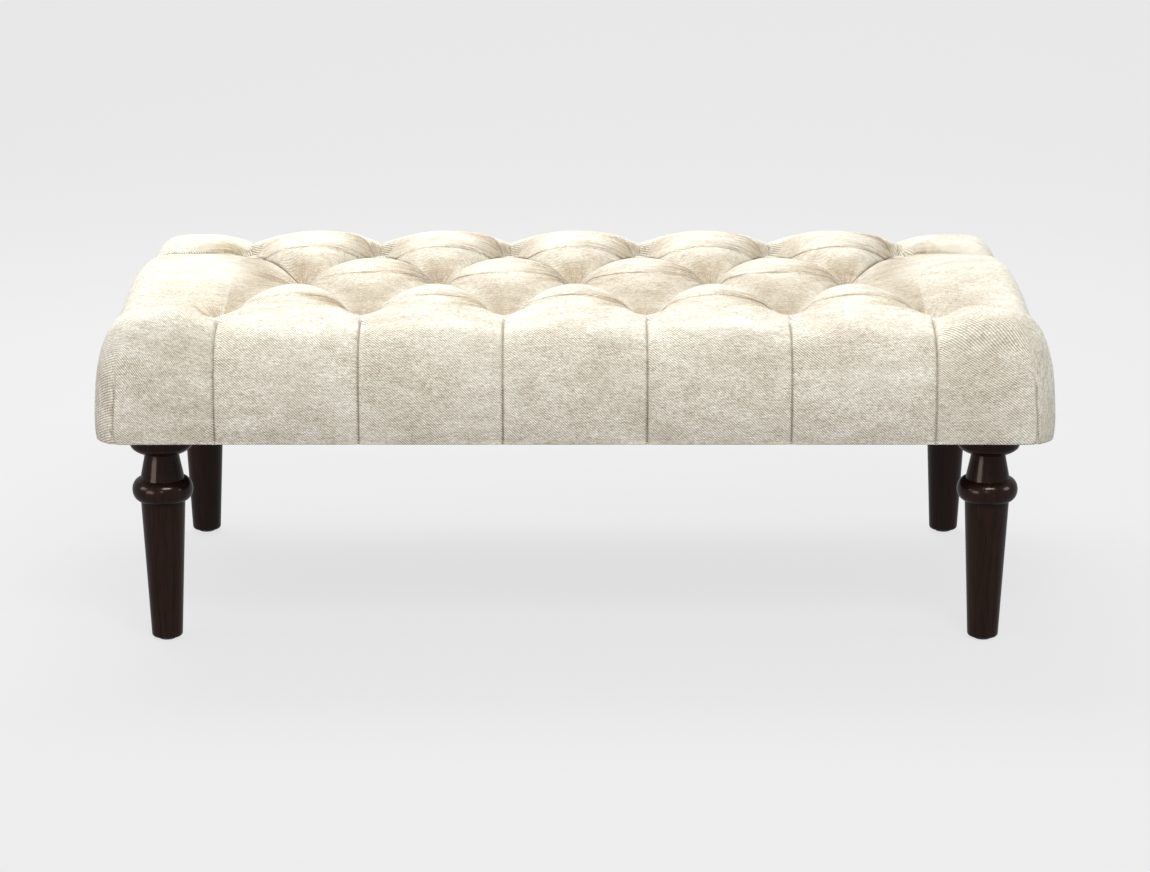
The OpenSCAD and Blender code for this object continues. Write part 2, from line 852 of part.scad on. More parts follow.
front_rail();
back_rail();
left_rail();
right_rail();
left_cross_rail();
right_cross_rail();
corner_block_front_left();
corner_block_front_right();
corner_block_back_left();
corner_block_back_right();
corner_dowels();
corner_block_screws();
cross_rail_screws();
seat_deck();
deck_screws();
foam_block();
batting();
seat_cover();
button_caps();
button_backs();
tufting_twine();
twine_washers();
cover_staples();
dust_cover();
dust_cover_staples();
leg_front_left();
leg_front_right();
leg_back_left();
leg_back_right();
leg_plates();
leg_plate_screws();
hanger_bolts();
foot_glides();
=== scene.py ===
# %% [markdown]
# # Button tufted footstool
# A long upholstered bench on four turned legs. The cushion is one cloth, pulled down at
# 17 buttons and pleated between them, over batting and foam on a pine frame.
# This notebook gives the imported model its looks: soft pieces, turned legs, finishes, light.

# %% Start
import json
import math
import bmesh
import bpy
import numpy as np
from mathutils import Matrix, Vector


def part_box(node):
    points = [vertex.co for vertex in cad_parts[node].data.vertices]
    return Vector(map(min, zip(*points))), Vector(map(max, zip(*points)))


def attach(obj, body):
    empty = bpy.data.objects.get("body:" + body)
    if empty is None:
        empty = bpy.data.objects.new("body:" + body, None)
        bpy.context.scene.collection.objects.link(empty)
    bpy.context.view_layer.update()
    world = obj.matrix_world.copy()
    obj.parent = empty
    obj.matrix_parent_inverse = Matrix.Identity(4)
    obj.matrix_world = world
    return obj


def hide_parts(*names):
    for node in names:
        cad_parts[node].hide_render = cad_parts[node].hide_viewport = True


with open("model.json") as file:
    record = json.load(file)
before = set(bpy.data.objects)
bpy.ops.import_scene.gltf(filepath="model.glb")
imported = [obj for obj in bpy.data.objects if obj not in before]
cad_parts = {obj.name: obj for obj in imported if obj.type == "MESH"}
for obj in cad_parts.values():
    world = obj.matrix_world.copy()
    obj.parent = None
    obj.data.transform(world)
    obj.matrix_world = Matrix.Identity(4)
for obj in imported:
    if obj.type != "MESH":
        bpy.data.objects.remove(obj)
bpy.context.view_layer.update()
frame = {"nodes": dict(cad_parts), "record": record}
print("CAD nodes:", len(frame["nodes"]))

# %% [markdown]
# ## Camera
# The camera stands 4.4 m in front of the stool's middle, 1.4 m up, looking 15 degrees down.
# It was solved from the four leg axes, the feet and the tuft rows, so its lens isn't shifted.

# %% Camera
def shown(name, data):
    """A new object at the origin, linked to the scene."""
    obj = bpy.data.objects.new(name, data)
    bpy.context.scene.collection.objects.link(obj)
    return obj


CAMERA_PITCH = 15.02
camera_data = bpy.data.cameras.new("camera")
camera_data.sensor_width = 36.0
camera_data.lens = 106.0
camera_data.clip_end = 60.0
camera = shown("camera", camera_data)
camera.location = (0.0, -4.436, 1.3956)
camera.rotation_euler = (math.radians(90 - CAMERA_PITCH), 0.0, 0.0)
bpy.context.scene.camera = camera
print("camera at", tuple(round(v, 3) for v in camera.location))

# %% [markdown]
# ## Node helpers
# Every finish below is a small node graph. Nodes could be placed by hand in the editor, but a
# script can be read, repeated and changed in one place. `Graph` adds a node, sets its inputs by
# name and links whatever is a socket, so that each line below reads like a formula.

# %% Node helpers
class Graph:
    """Adds nodes to one tree: values are set on inputs, and sockets are linked to them."""

    def __init__(self, tree):
        self.tree = tree

    def put(self, value, socket):
        if isinstance(value, bpy.types.NodeSocket):
            self.tree.links.new(value, socket)
        else:
            socket.default_value = value

    def add(self, kind, inputs=None, **settings):
        node = self.tree.nodes.new(kind)
        for name, value in settings.items():
            setattr(node, name, value)
        for key, value in (inputs or {}).items():
            self.put(value, node.inputs[key])
        return node

    def math(self, operation, a, b=0.0, c=0.0):
        return self.add("ShaderNodeMath", {0: a, 1: b, 2: c}, operation=operation).outputs[0]

    def times(self, a, b):
        return self.math("MULTIPLY", a, b)

    def vector(self, operation, a, b=(0.0, 0.0, 0.0)):
        node = self.add("ShaderNodeVectorMath", {0: a, 1: b}, operation=operation)
        return node.outputs["Value" if operation in ("LENGTH", "DOT_PRODUCT") else "Vector"]

    def scaled(self, vector, scale):
        node = self.add("ShaderNodeVectorMath", {0: vector, "Scale": scale}, operation="SCALE")
        return node.outputs["Vector"]

    def join(self, x=0.0, y=0.0, z=0.0):
        return self.add("ShaderNodeCombineXYZ", {0: x, 1: y, 2: z}).outputs[0]

    def split(self, vector):
        return self.add("ShaderNodeSeparateXYZ", {0: vector}).outputs

    def attribute(self, name):
        return self.split(self.add("ShaderNodeAttribute", attribute_name=name).outputs["Vector"])

    def noise(self, vector, scale, detail=3.0, roughness=0.5):
        inputs = {"Vector": vector, "Scale": scale, "Detail": detail, "Roughness": roughness}
        return self.add("ShaderNodeTexNoise", inputs).outputs["Fac"]

    def mix(self, factor, a, b, blend="MIX"):
        inputs = {0: factor, 6: a, 7: b}
        return self.add("ShaderNodeMix", inputs, data_type="RGBA", blend_type=blend).outputs[2]

    def ramp(self, factor, low, high):
        inputs = {"Value": factor, "From Min": low, "From Max": high}
        return self.add("ShaderNodeMapRange", inputs).outputs["Result"]

    def bump(self, height, distance, strength=1.0, normal=None):
        inputs = {"Height": height, "Distance": distance, "Strength": strength}
        if normal:
            inputs["Normal"] = normal
        return self.add("ShaderNodeBump", inputs).outputs["Normal"]


def rgb(r, g, b):
    return (r, g, b, 1.0)


def shader_group(name, inputs, outputs):
    """An empty shader node group, with its graph and its input and output nodes."""
    tree = bpy.data.node_groups.new(name, "ShaderNodeTree")
    for kind, label, value in inputs:
        socket = tree.interface.new_socket(label, in_out="INPUT", socket_type=kind)
        if value is not None:
            socket.default_value = value
    for kind, label in outputs:
        tree.interface.new_socket(label, in_out="OUTPUT", socket_type=kind)
    graph = Graph(tree)
    return graph, graph.add("NodeGroupInput"), graph.add("NodeGroupOutput")


def material(name):
    """A new material, its graph and its Principled shader."""
    made = bpy.data.materials.new(name)
    made.use_nodes = True
    graph = Graph(made.node_tree)
    shader = next(n for n in made.node_tree.nodes if n.type == "BSDF_PRINCIPLED")
    return made, graph, shader


def finish_with(graph, shader, color, roughness, normal=None):
    graph.put(color, shader.inputs["Base Color"])
    graph.put(roughness, shader.inputs["Roughness"])
    if normal:
        graph.put(normal, shader.inputs["Normal"])


# %% [markdown]
# ## Shared effects
# Three effects serve several finishes, so each is a node group that is built once. `grain` is
# wood grain: noise drawn out along one axis, with finer pores in it. `weave` is a twill:
# diagonal ribs that wander a little, crossed by thicker slubs. `worn` mixes broad blotches and
# fine dust, which breaks up an even roughness.

# %% Shared effects
FLOAT, VECTOR = "NodeSocketFloat", "NodeSocketVector"

graph, group_in, group_out = shader_group(
    "grain",
    [(VECTOR, "Vector", None), (VECTOR, "Stretch", (30.0, 30.0, 1.5)), (FLOAT, "Pores", 12.0)],
    [(FLOAT, "Tone"), (FLOAT, "Height")],
)
drawn_out = graph.vector("MULTIPLY", group_in.outputs["Vector"], group_in.outputs["Stretch"])
rings = graph.noise(drawn_out, 1.0, 4.0, 0.6)
pores = graph.noise(graph.scaled(drawn_out, group_in.outputs["Pores"]), 1.0, 2.0, 0.5)
tone = graph.math("MULTIPLY_ADD", pores, 0.35, graph.times(rings, 0.65))
graph.put(tone, group_out.inputs["Tone"])
graph.put(pores, group_out.inputs["Height"])

graph, group_in, group_out = shader_group(
    "weave",
    [(VECTOR, "Vector", None), (FLOAT, "Rib", 0.0035)],
    [(FLOAT, "Ribs"), (FLOAT, "Slubs"), (FLOAT, "Height")],
)
place = graph.split(group_in.outputs["Vector"])
jitter = graph.times(graph.noise(group_in.outputs["Vector"], 320.0, 2.0), 0.0011)
diagonal = graph.math("ADD", graph.math("ADD", place[0], place[1]), jitter)
rib_turn = graph.times(graph.math("DIVIDE", diagonal, group_in.outputs["Rib"]), math.tau)
ribs = graph.math("MULTIPLY_ADD", graph.math("SINE", rib_turn), 0.5, 0.5)
slub_place = graph.vector("MULTIPLY", group_in.outputs["Vector"], (85.0, 520.0, 1.0))
slubs = graph.noise(slub_place, 1.0, 3.0, 0.65)
height = graph.math("MULTIPLY_ADD", slubs, 0.6, graph.times(ribs, 0.5))
graph.put(ribs, group_out.inputs["Ribs"])
graph.put(slubs, group_out.inputs["Slubs"])
graph.put(height, group_out.inputs["Height"])

graph, group_in, group_out = shader_group(
    "worn",
    [(VECTOR, "Vector", None), (FLOAT, "Blotch", 18.0), (FLOAT, "Dust", 900.0)],
    [(FLOAT, "Mask")],
)
broad = graph.noise(group_in.outputs["Vector"], group_in.outputs["Blotch"], 3.0, 0.55)
fine = graph.noise(group_in.outputs["Vector"], group_in.outputs["Dust"], 2.0, 0.5)
graph.put(graph.math("MULTIPLY_ADD", fine, 0.4, graph.times(broad, 0.6)), group_out.inputs["Mask"])


def effect(graph, name, vector, **inputs):
    node = graph.add("ShaderNodeGroup", node_tree=bpy.data.node_groups[name])
    graph.put(vector, node.inputs["Vector"])
    for key, value in inputs.items():
        node.inputs[key].default_value = value
    return node.outputs


def object_place(graph):
    return graph.add("ShaderNodeTexCoord").outputs["Object"]


print("effects:", [group.name for group in bpy.data.node_groups])

# %% [markdown]
# ## Cover cloth
# The cloth is a heathered ivory twill. Its ribs run down to the right, about 3.5 mm apart along
# the face. Thicker slubs lie across them, and broad faint patches of other yarn mottle it.
# A photographed texture would repeat and blur close up, so nodes weave it instead. The pattern
# lies in each puff's own UV, so it follows the cloth over the crests and the edge. The darker
# tones are multiplied in, as a dye is, so the weave still shows in them.

# %% Cover cloth
def dye_or_shade(graph, amount, color, tone):
    """The colour, multiplied by the tone where the amount is 1: a dyed tone of the weave, or
    painted shade.
    """
    return graph.mix(amount, color, rgb(*tone), "MULTIPLY")


cloth, graph, shader = material("ivory_twill")
cloth_uv = graph.add("ShaderNodeUVMap", uv_map="cloth").outputs["UV"]
twill = effect(graph, "weave", cloth_uv)
heather_place = graph.vector("MULTIPLY", cloth_uv, (140.0, 400.0, 1.0))
heather = graph.ramp(graph.noise(heather_place, 1.0, 6.0, 1.0), 0.40, 0.55)
mottle_place = graph.vector("MULTIPLY", cloth_uv, (22.0, 52.0, 1.0))
mottle = graph.ramp(graph.noise(mottle_place, 1.0, 5.0, 0.7), 0.36, 0.66)
patches = graph.ramp(graph.noise(cloth_uv, 11.0, 3.0), 0.38, 0.64)
rib_strength = graph.math("MULTIPLY_ADD", mottle, 0.3, 0.65)
rib_lines = graph.times(graph.ramp(twill["Ribs"], 0.40, 0.90), rib_strength)
slub_lines = graph.ramp(twill["Slubs"], 0.50, 0.72)
grey_place = graph.vector("ADD", cloth_uv, (7.3, 2.1, 0.0))
grey = graph.ramp(graph.noise(grey_place, 8.0, 3.0), 0.46, 0.62)

color = graph.mix(heather, rgb(0.42, 0.372, 0.29), rgb(1.0, 0.99, 0.90))
color = dye_or_shade(graph, rib_lines, color, (0.37, 0.32, 0.265))
color = dye_or_shade(graph, graph.times(mottle, 0.42), color, (0.67, 0.59, 0.51))
color = dye_or_shade(graph, graph.times(slub_lines, 0.50), color, (0.59, 0.525, 0.45))
color = dye_or_shade(graph, graph.times(patches, 0.52), color, (0.80, 0.75, 0.705))
color = graph.mix(graph.times(grey, 0.12), color, rgb(0.80, 0.79, 0.72))
cloth_rough = graph.math("MULTIPLY_ADD", twill["Slubs"], 0.1, 0.85)
weave_bump = graph.bump(twill["Height"], 0.0004, 0.6)
print("weave nodes:", len(cloth.node_tree.nodes))

# %% [markdown]
# ## Gathers, creases and hollows
# Round a button the cloth gathers in fine rays, more on the side that the cloth was pulled from.
# Streaks lie behind each crease, a pleat is a thin dark line, and the hollows look dimmer and
# warmer. As geometry these would need millions of faces, so only the larger folds are real and
# the shader adds the rest, as bumps and as painted shade: the rays, the streaks, the creases and
# the pleats are painted darker, the cloth round each tuft gets a darker tint, and the hollows
# are painted dimmer and warmer. It reads three attributes that `mark_folds` stores further
# down: the way to the nearest tuft with the pull there, the place beside the nearest crease,
# and how deep a point lies, which sets the painted shade of the hollows, and how far it is
# from a pleat.

# %% Gathers, creases and hollows
def thin_line(graph, distance, width, strength):
    """1 on the line, fading out over the width on both sides."""
    square = graph.math("POWER", graph.math("DIVIDE", distance, width), 2.0)
    return graph.times(graph.math("EXPONENT", graph.times(square, -1.0)), strength)


to_x, to_y, pull_and_shade = graph.attribute("to_tuft")
to_tuft = graph.join(to_x, to_y)
ray_way = graph.scaled(graph.vector("NORMALIZE", to_tuft), 13.0)
ray_bend = graph.join(z=graph.times(graph.vector("LENGTH", to_tuft), 9.0))
rays = graph.noise(graph.vector("ADD", ray_way, ray_bend), 1.0, 2.0, 0.6)
gathers = graph.times(graph.ramp(rays, 0.43, 0.58), pull_and_shade)

ahead, strong, beside = graph.attribute("crease")
broken = graph.ramp(graph.noise(cloth_uv, 16.0, 2.0), 0.36, 0.60)
crease_line = graph.times(thin_line(graph, ahead, 0.0011, strong), broken)
behind = graph.times(graph.ramp(ahead, -0.034, -0.010), graph.ramp(ahead, 0.003, -0.003))
behind = graph.times(behind, graph.ramp(beside, -0.035, 0.045))
streak_place = graph.join(graph.times(ahead, 330.0), graph.times(beside, 22.0))
streaks = graph.ramp(graph.noise(streak_place, 1.0, 2.0, 0.5), 0.45, 0.60)
gathers = graph.math("MAXIMUM", gathers, graph.times(streaks, graph.times(behind, strong)))

hollow, to_pleat, pleat_shade = graph.attribute("hollow")
# Painted shade: the cloth round each tuft is tinted darker where the pull is strongest.
color = dye_or_shade(graph, pull_and_shade, color, (0.97, 0.925, 0.86))
# Painted shade of the gathers and of the streaks behind the creases.
color = dye_or_shade(graph, gathers, color, (0.65, 0.57, 0.46))
# Painted shade: a broken dark line along each crease.
color = dye_or_shade(graph, crease_line, color, (0.60, 0.53, 0.45))
# Painted shade: a thin dark line along each pleat and each pressed corner fold.
color = dye_or_shade(graph, thin_line(graph, to_pleat, 0.0010, pleat_shade), color, (0.50, 0.43, 0.35))
# Painted shade: the hollows of the field are darker and warmer.
color = dye_or_shade(graph, hollow, color, (0.68, 0.62, 0.55))
fold_bump = graph.bump(graph.math("ADD", gathers, crease_line), -0.0013, 0.8, weave_bump)
finish_with(graph, shader, color, cloth_rough, fold_bump)
shader.inputs["Sheen Weight"].default_value = 0.25
shader.inputs["Sheen Roughness"].default_value = 0.5
shader.inputs["Specular IOR Level"].default_value = 0.2
print("cloth nodes:", len(cloth.node_tree.nodes))

# %% [markdown]
# ## Woods
# The legs are beech, stained nearly black and lacquered to a satin. Grain shows only as fine
# upright streaks and in the gloss. The frame is sawn pine, the deck plywood, the dowels beech.
# One function makes them all: the grain runs along the axis with the smallest stretch.

# %% Woods
def wood(name, dark, light, stretch, pores, rough, bump):
    made, graph, shader = material(name)
    place = object_place(graph)
    grain = effect(graph, "grain", place, Stretch=stretch, Pores=pores)
    wear = effect(graph, "worn", place, Blotch=14.0, Dust=700.0)
    streaks = graph.ramp(grain["Tone"], 0.36, 0.64)
    color = graph.mix(streaks, rgb(*dark), rgb(*light))
    roughness = graph.math("MULTIPLY_ADD", wear["Mask"], rough[1] - rough[0], rough[0])
    finish_with(graph, shader, color, roughness, graph.bump(grain["Height"], bump, 0.6))
    return made, shader


espresso, shader = wood(
    "espresso_wood", (0.0066, 0.0028, 0.0018), (0.0210, 0.0086, 0.0056),
    (210.0, 210.0, 7.0), 3.0, (0.13, 0.22), 0.00012
)
shader.inputs["Specular IOR Level"].default_value = 0.30
shader.inputs["Specular Tint"].default_value = rgb(1.0, 0.80, 0.72)
pine, pine_side = (
    wood(name, (0.50, 0.31, 0.14), (0.80, 0.62, 0.38), stretch, 6.0, (0.5, 0.75), 0.0006)[0]
    for name, stretch in (
        ("frame_pine", (5.0, 70.0, 70.0)),
        ("frame_pine_side", (70.0, 5.0, 70.0)),
    )
)
ply = wood(
    "deck_ply", (0.56, 0.40, 0.22), (0.78, 0.64, 0.43),
    (6.0, 60.0, 700.0), 4.0, (0.5, 0.7), 0.0004
)[0]
beech = wood(
    "beech_dowel", (0.50, 0.31, 0.17), (0.70, 0.50, 0.31),
    (300.0, 12.0, 300.0), 4.0, (0.5, 0.7), 0.0004
)[0]
print("woods:", [made.name for made in (espresso, pine, pine_side, ply, beech)])

# %% [markdown]
# ## Small finishes
# Foam has open cells and batting has crossing fibres. The steel parts are bright zinc or plain
# stamped steel with fine scratches, and the nylon is moulded, so it is even. Each is one noise
# at the finish's own scale, which sets the colour and the bump together.

# %% Small finishes
def plain_finish(name, low, high, scale, rough, bump, metal=0.0, stretch=(1.0, 1.0, 1.0)):
    made, graph, shader = material(name)
    place = graph.vector("MULTIPLY", object_place(graph), stretch)
    grit = graph.noise(place, scale, 4.0, 0.6)
    wear = effect(graph, "worn", place, Blotch=30.0, Dust=scale)
    color = graph.mix(graph.ramp(grit, 0.3, 0.7), rgb(*low), rgb(*high))
    roughness = graph.math("MULTIPLY_ADD", wear["Mask"], rough[1] - rough[0], rough[0])
    finish_with(graph, shader, color, roughness, graph.bump(grit, bump, 0.5))
    shader.inputs["Metallic"].default_value = metal
    return made


foam = plain_finish(
    "seat_foam", (0.62, 0.52, 0.28), (0.84, 0.76, 0.50), 700.0, (0.85, 1.0), 0.0012
)
batting_fibre = plain_finish(
    "batting_fibre", (0.70, 0.70, 0.67), (0.90, 0.90, 0.88), 260.0, (0.85, 1.0), 0.002,
    stretch=(1.0, 3.0, 1.0)
)
zinc = plain_finish(
    "zinc", (0.50, 0.49, 0.44), (0.68, 0.67, 0.63), 900.0, (0.25, 0.5), 0.00005, metal=1.0
)
steel = plain_finish(
    "stamped_steel", (0.36, 0.36, 0.37), (0.56, 0.56, 0.57), 500.0, (0.3, 0.55), 0.0001,
    metal=1.0, stretch=(1.0, 12.0, 1.0)
)
staple_wire = plain_finish(
    "staple_wire", (0.46, 0.46, 0.47), (0.70, 0.70, 0.71), 800.0, (0.25, 0.45), 0.00005,
    metal=1.0
)
nylon = plain_finish(
    "washer_nylon", (0.62, 0.61, 0.57), (0.72, 0.71, 0.68), 400.0, (0.4, 0.6), 0.0001
)
glide = plain_finish(
    "glide_nylon", (0.010, 0.010, 0.010), (0.022, 0.022, 0.022), 400.0, (0.4, 0.6), 0.0001
)

# %% [markdown]
# ## Twine and black cloth
# The tufting twine is laid in strands, which a slanting wave draws. The black cloth under the
# seat is spun-bonded: a felt of fibres, welded at small dots. A Voronoi texture with little
# randomness sets the dots in rows, and noise between them makes the felt.

# %% Twine and black cloth
twine, graph, shader = material("twine")
strand_inputs = {"Vector": object_place(graph), "Scale": 220.0, "Distortion": 2.0}
wave = graph.add("ShaderNodeTexWave", strand_inputs, bands_direction="DIAGONAL")
strand = wave.outputs["Fac"]
color = graph.mix(strand, rgb(0.34, 0.26, 0.15), rgb(0.62, 0.52, 0.36))
roughness = graph.math("MULTIPLY_ADD", strand, 0.1, 0.8)
finish_with(graph, shader, color, roughness, graph.bump(strand, 0.0004, 0.7))

dust_cloth, graph, shader = material("dust_cloth")
place = object_place(graph)
dot_inputs = {"Vector": place, "Scale": 420.0, "Randomness": 0.12}
dots = graph.add("ShaderNodeTexVoronoi", dot_inputs).outputs["Distance"]
welds = graph.ramp(dots, 0.18, 0.34)
fibres = graph.noise(graph.vector("MULTIPLY", place, (1.0, 4.0, 1.0)), 500.0, 4.0, 0.7)
color = graph.mix(fibres, rgb(0.006, 0.006, 0.0065), rgb(0.035, 0.035, 0.037))
color = graph.mix(graph.math("SUBTRACT", 1.0, welds), color, rgb(0.008, 0.008, 0.009))
height = graph.math("MULTIPLY_ADD", fibres, 0.5, welds)
roughness = graph.math("MULTIPLY_ADD", welds, 0.3, 0.55)
finish_with(graph, shader, color, roughness, graph.bump(height, 0.0003, 0.7))

finishes = {
    "cover_fabric": cloth, "espresso_wood": espresso, "frame_pine": pine, "deck_ply": ply,
    "beech_dowel": beech, "seat_foam": foam, "polyester_batting": batting_fibre,
    "button_steel": steel, "twine": twine, "washer_nylon": nylon, "dust_cloth": dust_cloth,
    "staple_steel": staple_wire, "screw_zinc": zinc, "plate_steel": steel, "glide_nylon": glide,
}
print("finishes:", len(finishes))

# %% [markdown]
# ## The cushion's surface
# Every piece of the cushion follows one surface, given here in millimetres. Tufts stand in rows
# of six, five and six. Each half pitch holds two three-cornered patches that meet at a pleat:
# one belongs to a puff at the edge, the other to a diamond between the rows or to an end puff.
# `wide` grows along a puff from its tip, and `off` grows across it from crest to pleat.
# A cloth simulation could make such a cushion, but its pleats would wander off their tufts, so
# the crests, pleats and cross-sections are written as rules and fitted to the real one.

# %% Surface sizes
HALF_W, HALF_D, CORNER_R = 608.5, 329.0, 50.0
HEM_Z, BELLY_Z, HEM_TUCK, HEM_ROUND, FLANGE_W = 281.2, 310.8, 4.0, 3.0, 40.0
ROW_TUFTS, HALF_PITCH, ROW_GAP = 6, 90.75, 217.0
HALF_PITCHES = 2 * (ROW_TUFTS - 1)
FIELD_X = (ROW_TUFTS - 1) * HALF_PITCH
TUFT_Z, PLEAT_Z, PLEAT_RISE, END_PLEAT_Z = 388.4, 409.0, 9.0, 412.0
FRONT_SHOULDER_Z, BACK_SHOULDER_Z, SHOULDER_REACH = 427.5, 421.5, 8.0
SHOULDER_FALL, CREST_FALL, FALL_BEND = 0.23, 0.17, 15.0
EDGE_APEX, END_APEX, CORNER_REACH = 165.0, 150.0, 80.0
EDGE_RISE, DIAMOND_RISE, END_RISE, CORNER_RISE = 40.0, 35.5, 37.0, 34.0
BACK_CREASE, FRONT_CREASE, DIAMOND_CREASE = 113.0, 190.0, 42.0
DIMPLE_R, SLIT_DEPTH, SLIT_W, FACE_PUFF = 14.0, 6.5, 1.4, 5.0
PLEAT_IN = FACE_PUFF * 0.4
ROLL_W, CORNER_ROLL_W, ROLL_FULLNESS = 48.0, 54.0, 2.3
FOLD_X, FOLD_TOP_Z, CORNER_SQUARE = 580.0, 372.0, 9.0
SQUARE_Z, SQUARE_FADE = 345, 60
COVER_T, BATTING_T = 1.6, 10.0
RAIL_X, RAIL_Y, RAIL_Z, FOAM_Z = 575.0, 295.0, 282.8, 354.8

edge_tufts = [
    (-FIELD_X + 2 * HALF_PITCH * i, side * ROW_GAP) for side in (-1, 1) for i in range(ROW_TUFTS)
]
middle_tufts = [(-FIELD_X + HALF_PITCH + 2 * HALF_PITCH * i, 0.0) for i in range(ROW_TUFTS - 1)]
TUFTS = np.array(edge_tufts + middle_tufts)
print("tufts:", len(TUFTS))

# %% [markdown]
# ## Small folds
# Where the cloth is drawn to a button, it wrinkles: a few radial folds on the flanks, stronger
# on the left of each button. A long soft crease runs from tuft to tuft across the front of each
# puff, where the cloth was smoothed towards the back. They could be sculpted by hand, but as
# heights added to the surface they stay on their tufts when a size changes. A fixed seed gives
# each button its own folds.

# %% Small folds
rng = np.random.default_rng(17)
FOLD_ANGLES = np.radians([142, 158, 172, 188, 204, 220, 28, 8, -18, -36])
FOLD_HEIGHTS = np.array([2.0, 2.4, 1.9, 2.5, 2.0, 1.6, 1.0, 0.6, 1.0, 0.8])
FOLD_START, FOLD_REACH, FOLD_END = 10, 62, 110
CREASE_DEPTH, CREASE_STEP, CREASE_FADE, CREASE_END = 2.8, 6, 16, 90
fold_turns = rng.normal(0.0, math.radians(4), (len(TUFTS), len(FOLD_ANGLES)))
fold_sizes = rng.uniform(0.5, 1.3, (len(TUFTS), len(FOLD_ANGLES)))
fold_reach = rng.uniform(0.8, 1.3, (len(TUFTS), len(FOLD_ANGLES)))


def smooth(t):
    t = np.clip(t, 0.0, 1.0)
    return t * t * (3 - 2 * t)


def dimples(x, y):
    """Depth of the hollow at each tuft; the outer rows' hollows are steeper towards the edge."""
    depth = np.zeros_like(x)
    for tx, ty in TUFTS:
        outward = (y - ty) * np.sign(ty) > 0
        r2 = (x - tx) ** 2 + (np.where(outward, 1.8, 1.0) * (y - ty)) ** 2
        depth = np.maximum(depth, (PLEAT_Z - TUFT_Z) * np.exp(-r2 / DIMPLE_R**2))
    return depth


def wrinkles(x, y):
    """Height of the radial folds round the tufts; each is narrower further out."""
    height = np.zeros_like(x)
    for i, (tx, ty) in enumerate(TUFTS):
        dx, dy = x - tx, y - ty
        r = np.hypot(dx, dy)
        near = r < FOLD_END
        turn = np.arctan2(dy, dx)
        for k, angle in enumerate(FOLD_ANGLES):
            away = np.angle(np.exp(1j * (turn - angle - fold_turns[i, k])))
            reach = FOLD_REACH * fold_reach[i, k]
            fade = smooth((r - FOLD_START) / 18) * smooth((reach + 30 - r) / 55)
            width = 0.075 + 0.9 / np.maximum(r, 8)
            fold = FOLD_HEIGHTS[k] * fold_sizes[i, k] * np.exp(-((away / width) ** 2))
            height += np.where(near, fold * fade, 0.0)
    return height


# A crease: x of its middle, y of its middle, and y of its two ends a half pitch away
CREASES = [(x, -197.0, -217.0) for x, _ in middle_tufts]
CREASES += [(x, -42.0, 0.0) for x, y in edge_tufts if y < 0 and abs(x) < FIELD_X - 1]
CREASES += [(x, 113.0, 200.0) for x, _ in middle_tufts]


def crease_place(x, y, crease):
    """How far a point lies in front of a crease and along it, and how strong it is there."""
    middle_x, middle_y, end_y = crease
    along = (x - middle_x) / HALF_PITCH
    ahead = middle_y + (end_y - middle_y) * along**2 - y
    return ahead, along * HALF_PITCH, smooth((1.0 - np.abs(along)) / 0.15)


def creases(x, y):
    """Each crease is a step down on its front side, which fades out further forward."""
    height = np.zeros_like(x)
    for crease in CREASES:
        ahead, _, strength = crease_place(x, y, crease)
        step = smooth(ahead / CREASE_STEP + 0.5) * np.exp(-np.maximum(ahead, 0) / CREASE_FADE)
        height -= np.where(np.abs(ahead) < CREASE_END, CREASE_DEPTH * step * strength, 0.0)
    return height


print("creases:", len(CREASES))

# %% [markdown]
# ## Marks for the cloth's shader
# The shader can't know where the tufts and pleats are, so each point of the finished cover is
# told. The numbers are stored as attributes, which stay with the mesh, and lengths are in
# metres, as Blender's are. Low on the front the nearest pleat is the pressed fold at a corner.

# %% Marks for the shader
PULL_START, PULL_REACH, PULL_FADE = 5, 95, 65
PULL_Z, CREASE_Z, HOLLOW_Z, HOLLOW_END_X = 395, 400, 444, 566
FAR = 50.0


def tuft_marks(x, y, z):
    """The way from the nearest tuft, and how hard the cloth is pulled, most on the left; the pull
    also sets the painted shade round the tuft.
    """
    to_x, to_y = x[:, None] - TUFTS[:, 0], y[:, None] - TUFTS[:, 1]
    nearest = np.argmin(np.hypot(to_x, to_y), 1)
    rows = np.arange(len(x))
    to_x, to_y = to_x[rows, nearest], to_y[rows, nearest]
    r = np.hypot(to_x, to_y)
    pull_and_shade = smooth((r - PULL_START) / 12) * smooth((PULL_REACH - r) / PULL_FADE)
    pull_and_shade = pull_and_shade * (0.62 - 0.38 * to_x / np.maximum(r, 1))
    pull_and_shade = np.where(z > PULL_Z, pull_and_shade, 0.0) * smooth((ROW_GAP + 24 - np.abs(y)) / 24)
    return to_x / 1000, to_y / 1000, pull_and_shade


def crease_marks(x, y, z):
    """How far a point lies in front of the nearest crease, its strength, and how far along."""
    line, strong, along = np.full_like(x, FAR), np.zeros_like(x), np.zeros_like(x)
    for crease in CREASES:
        ahead, beside, strength = crease_place(x, y, crease)
        closer = (np.abs(ahead) < np.abs(line)) & (strength > 0)
        line, strong = np.where(closer, ahead, line), np.where(closer, strength, strong)
        along = np.where(closer, beside, along)
    return line / 1000, np.where(z > CREASE_Z, strong, 0.0), along / 1000


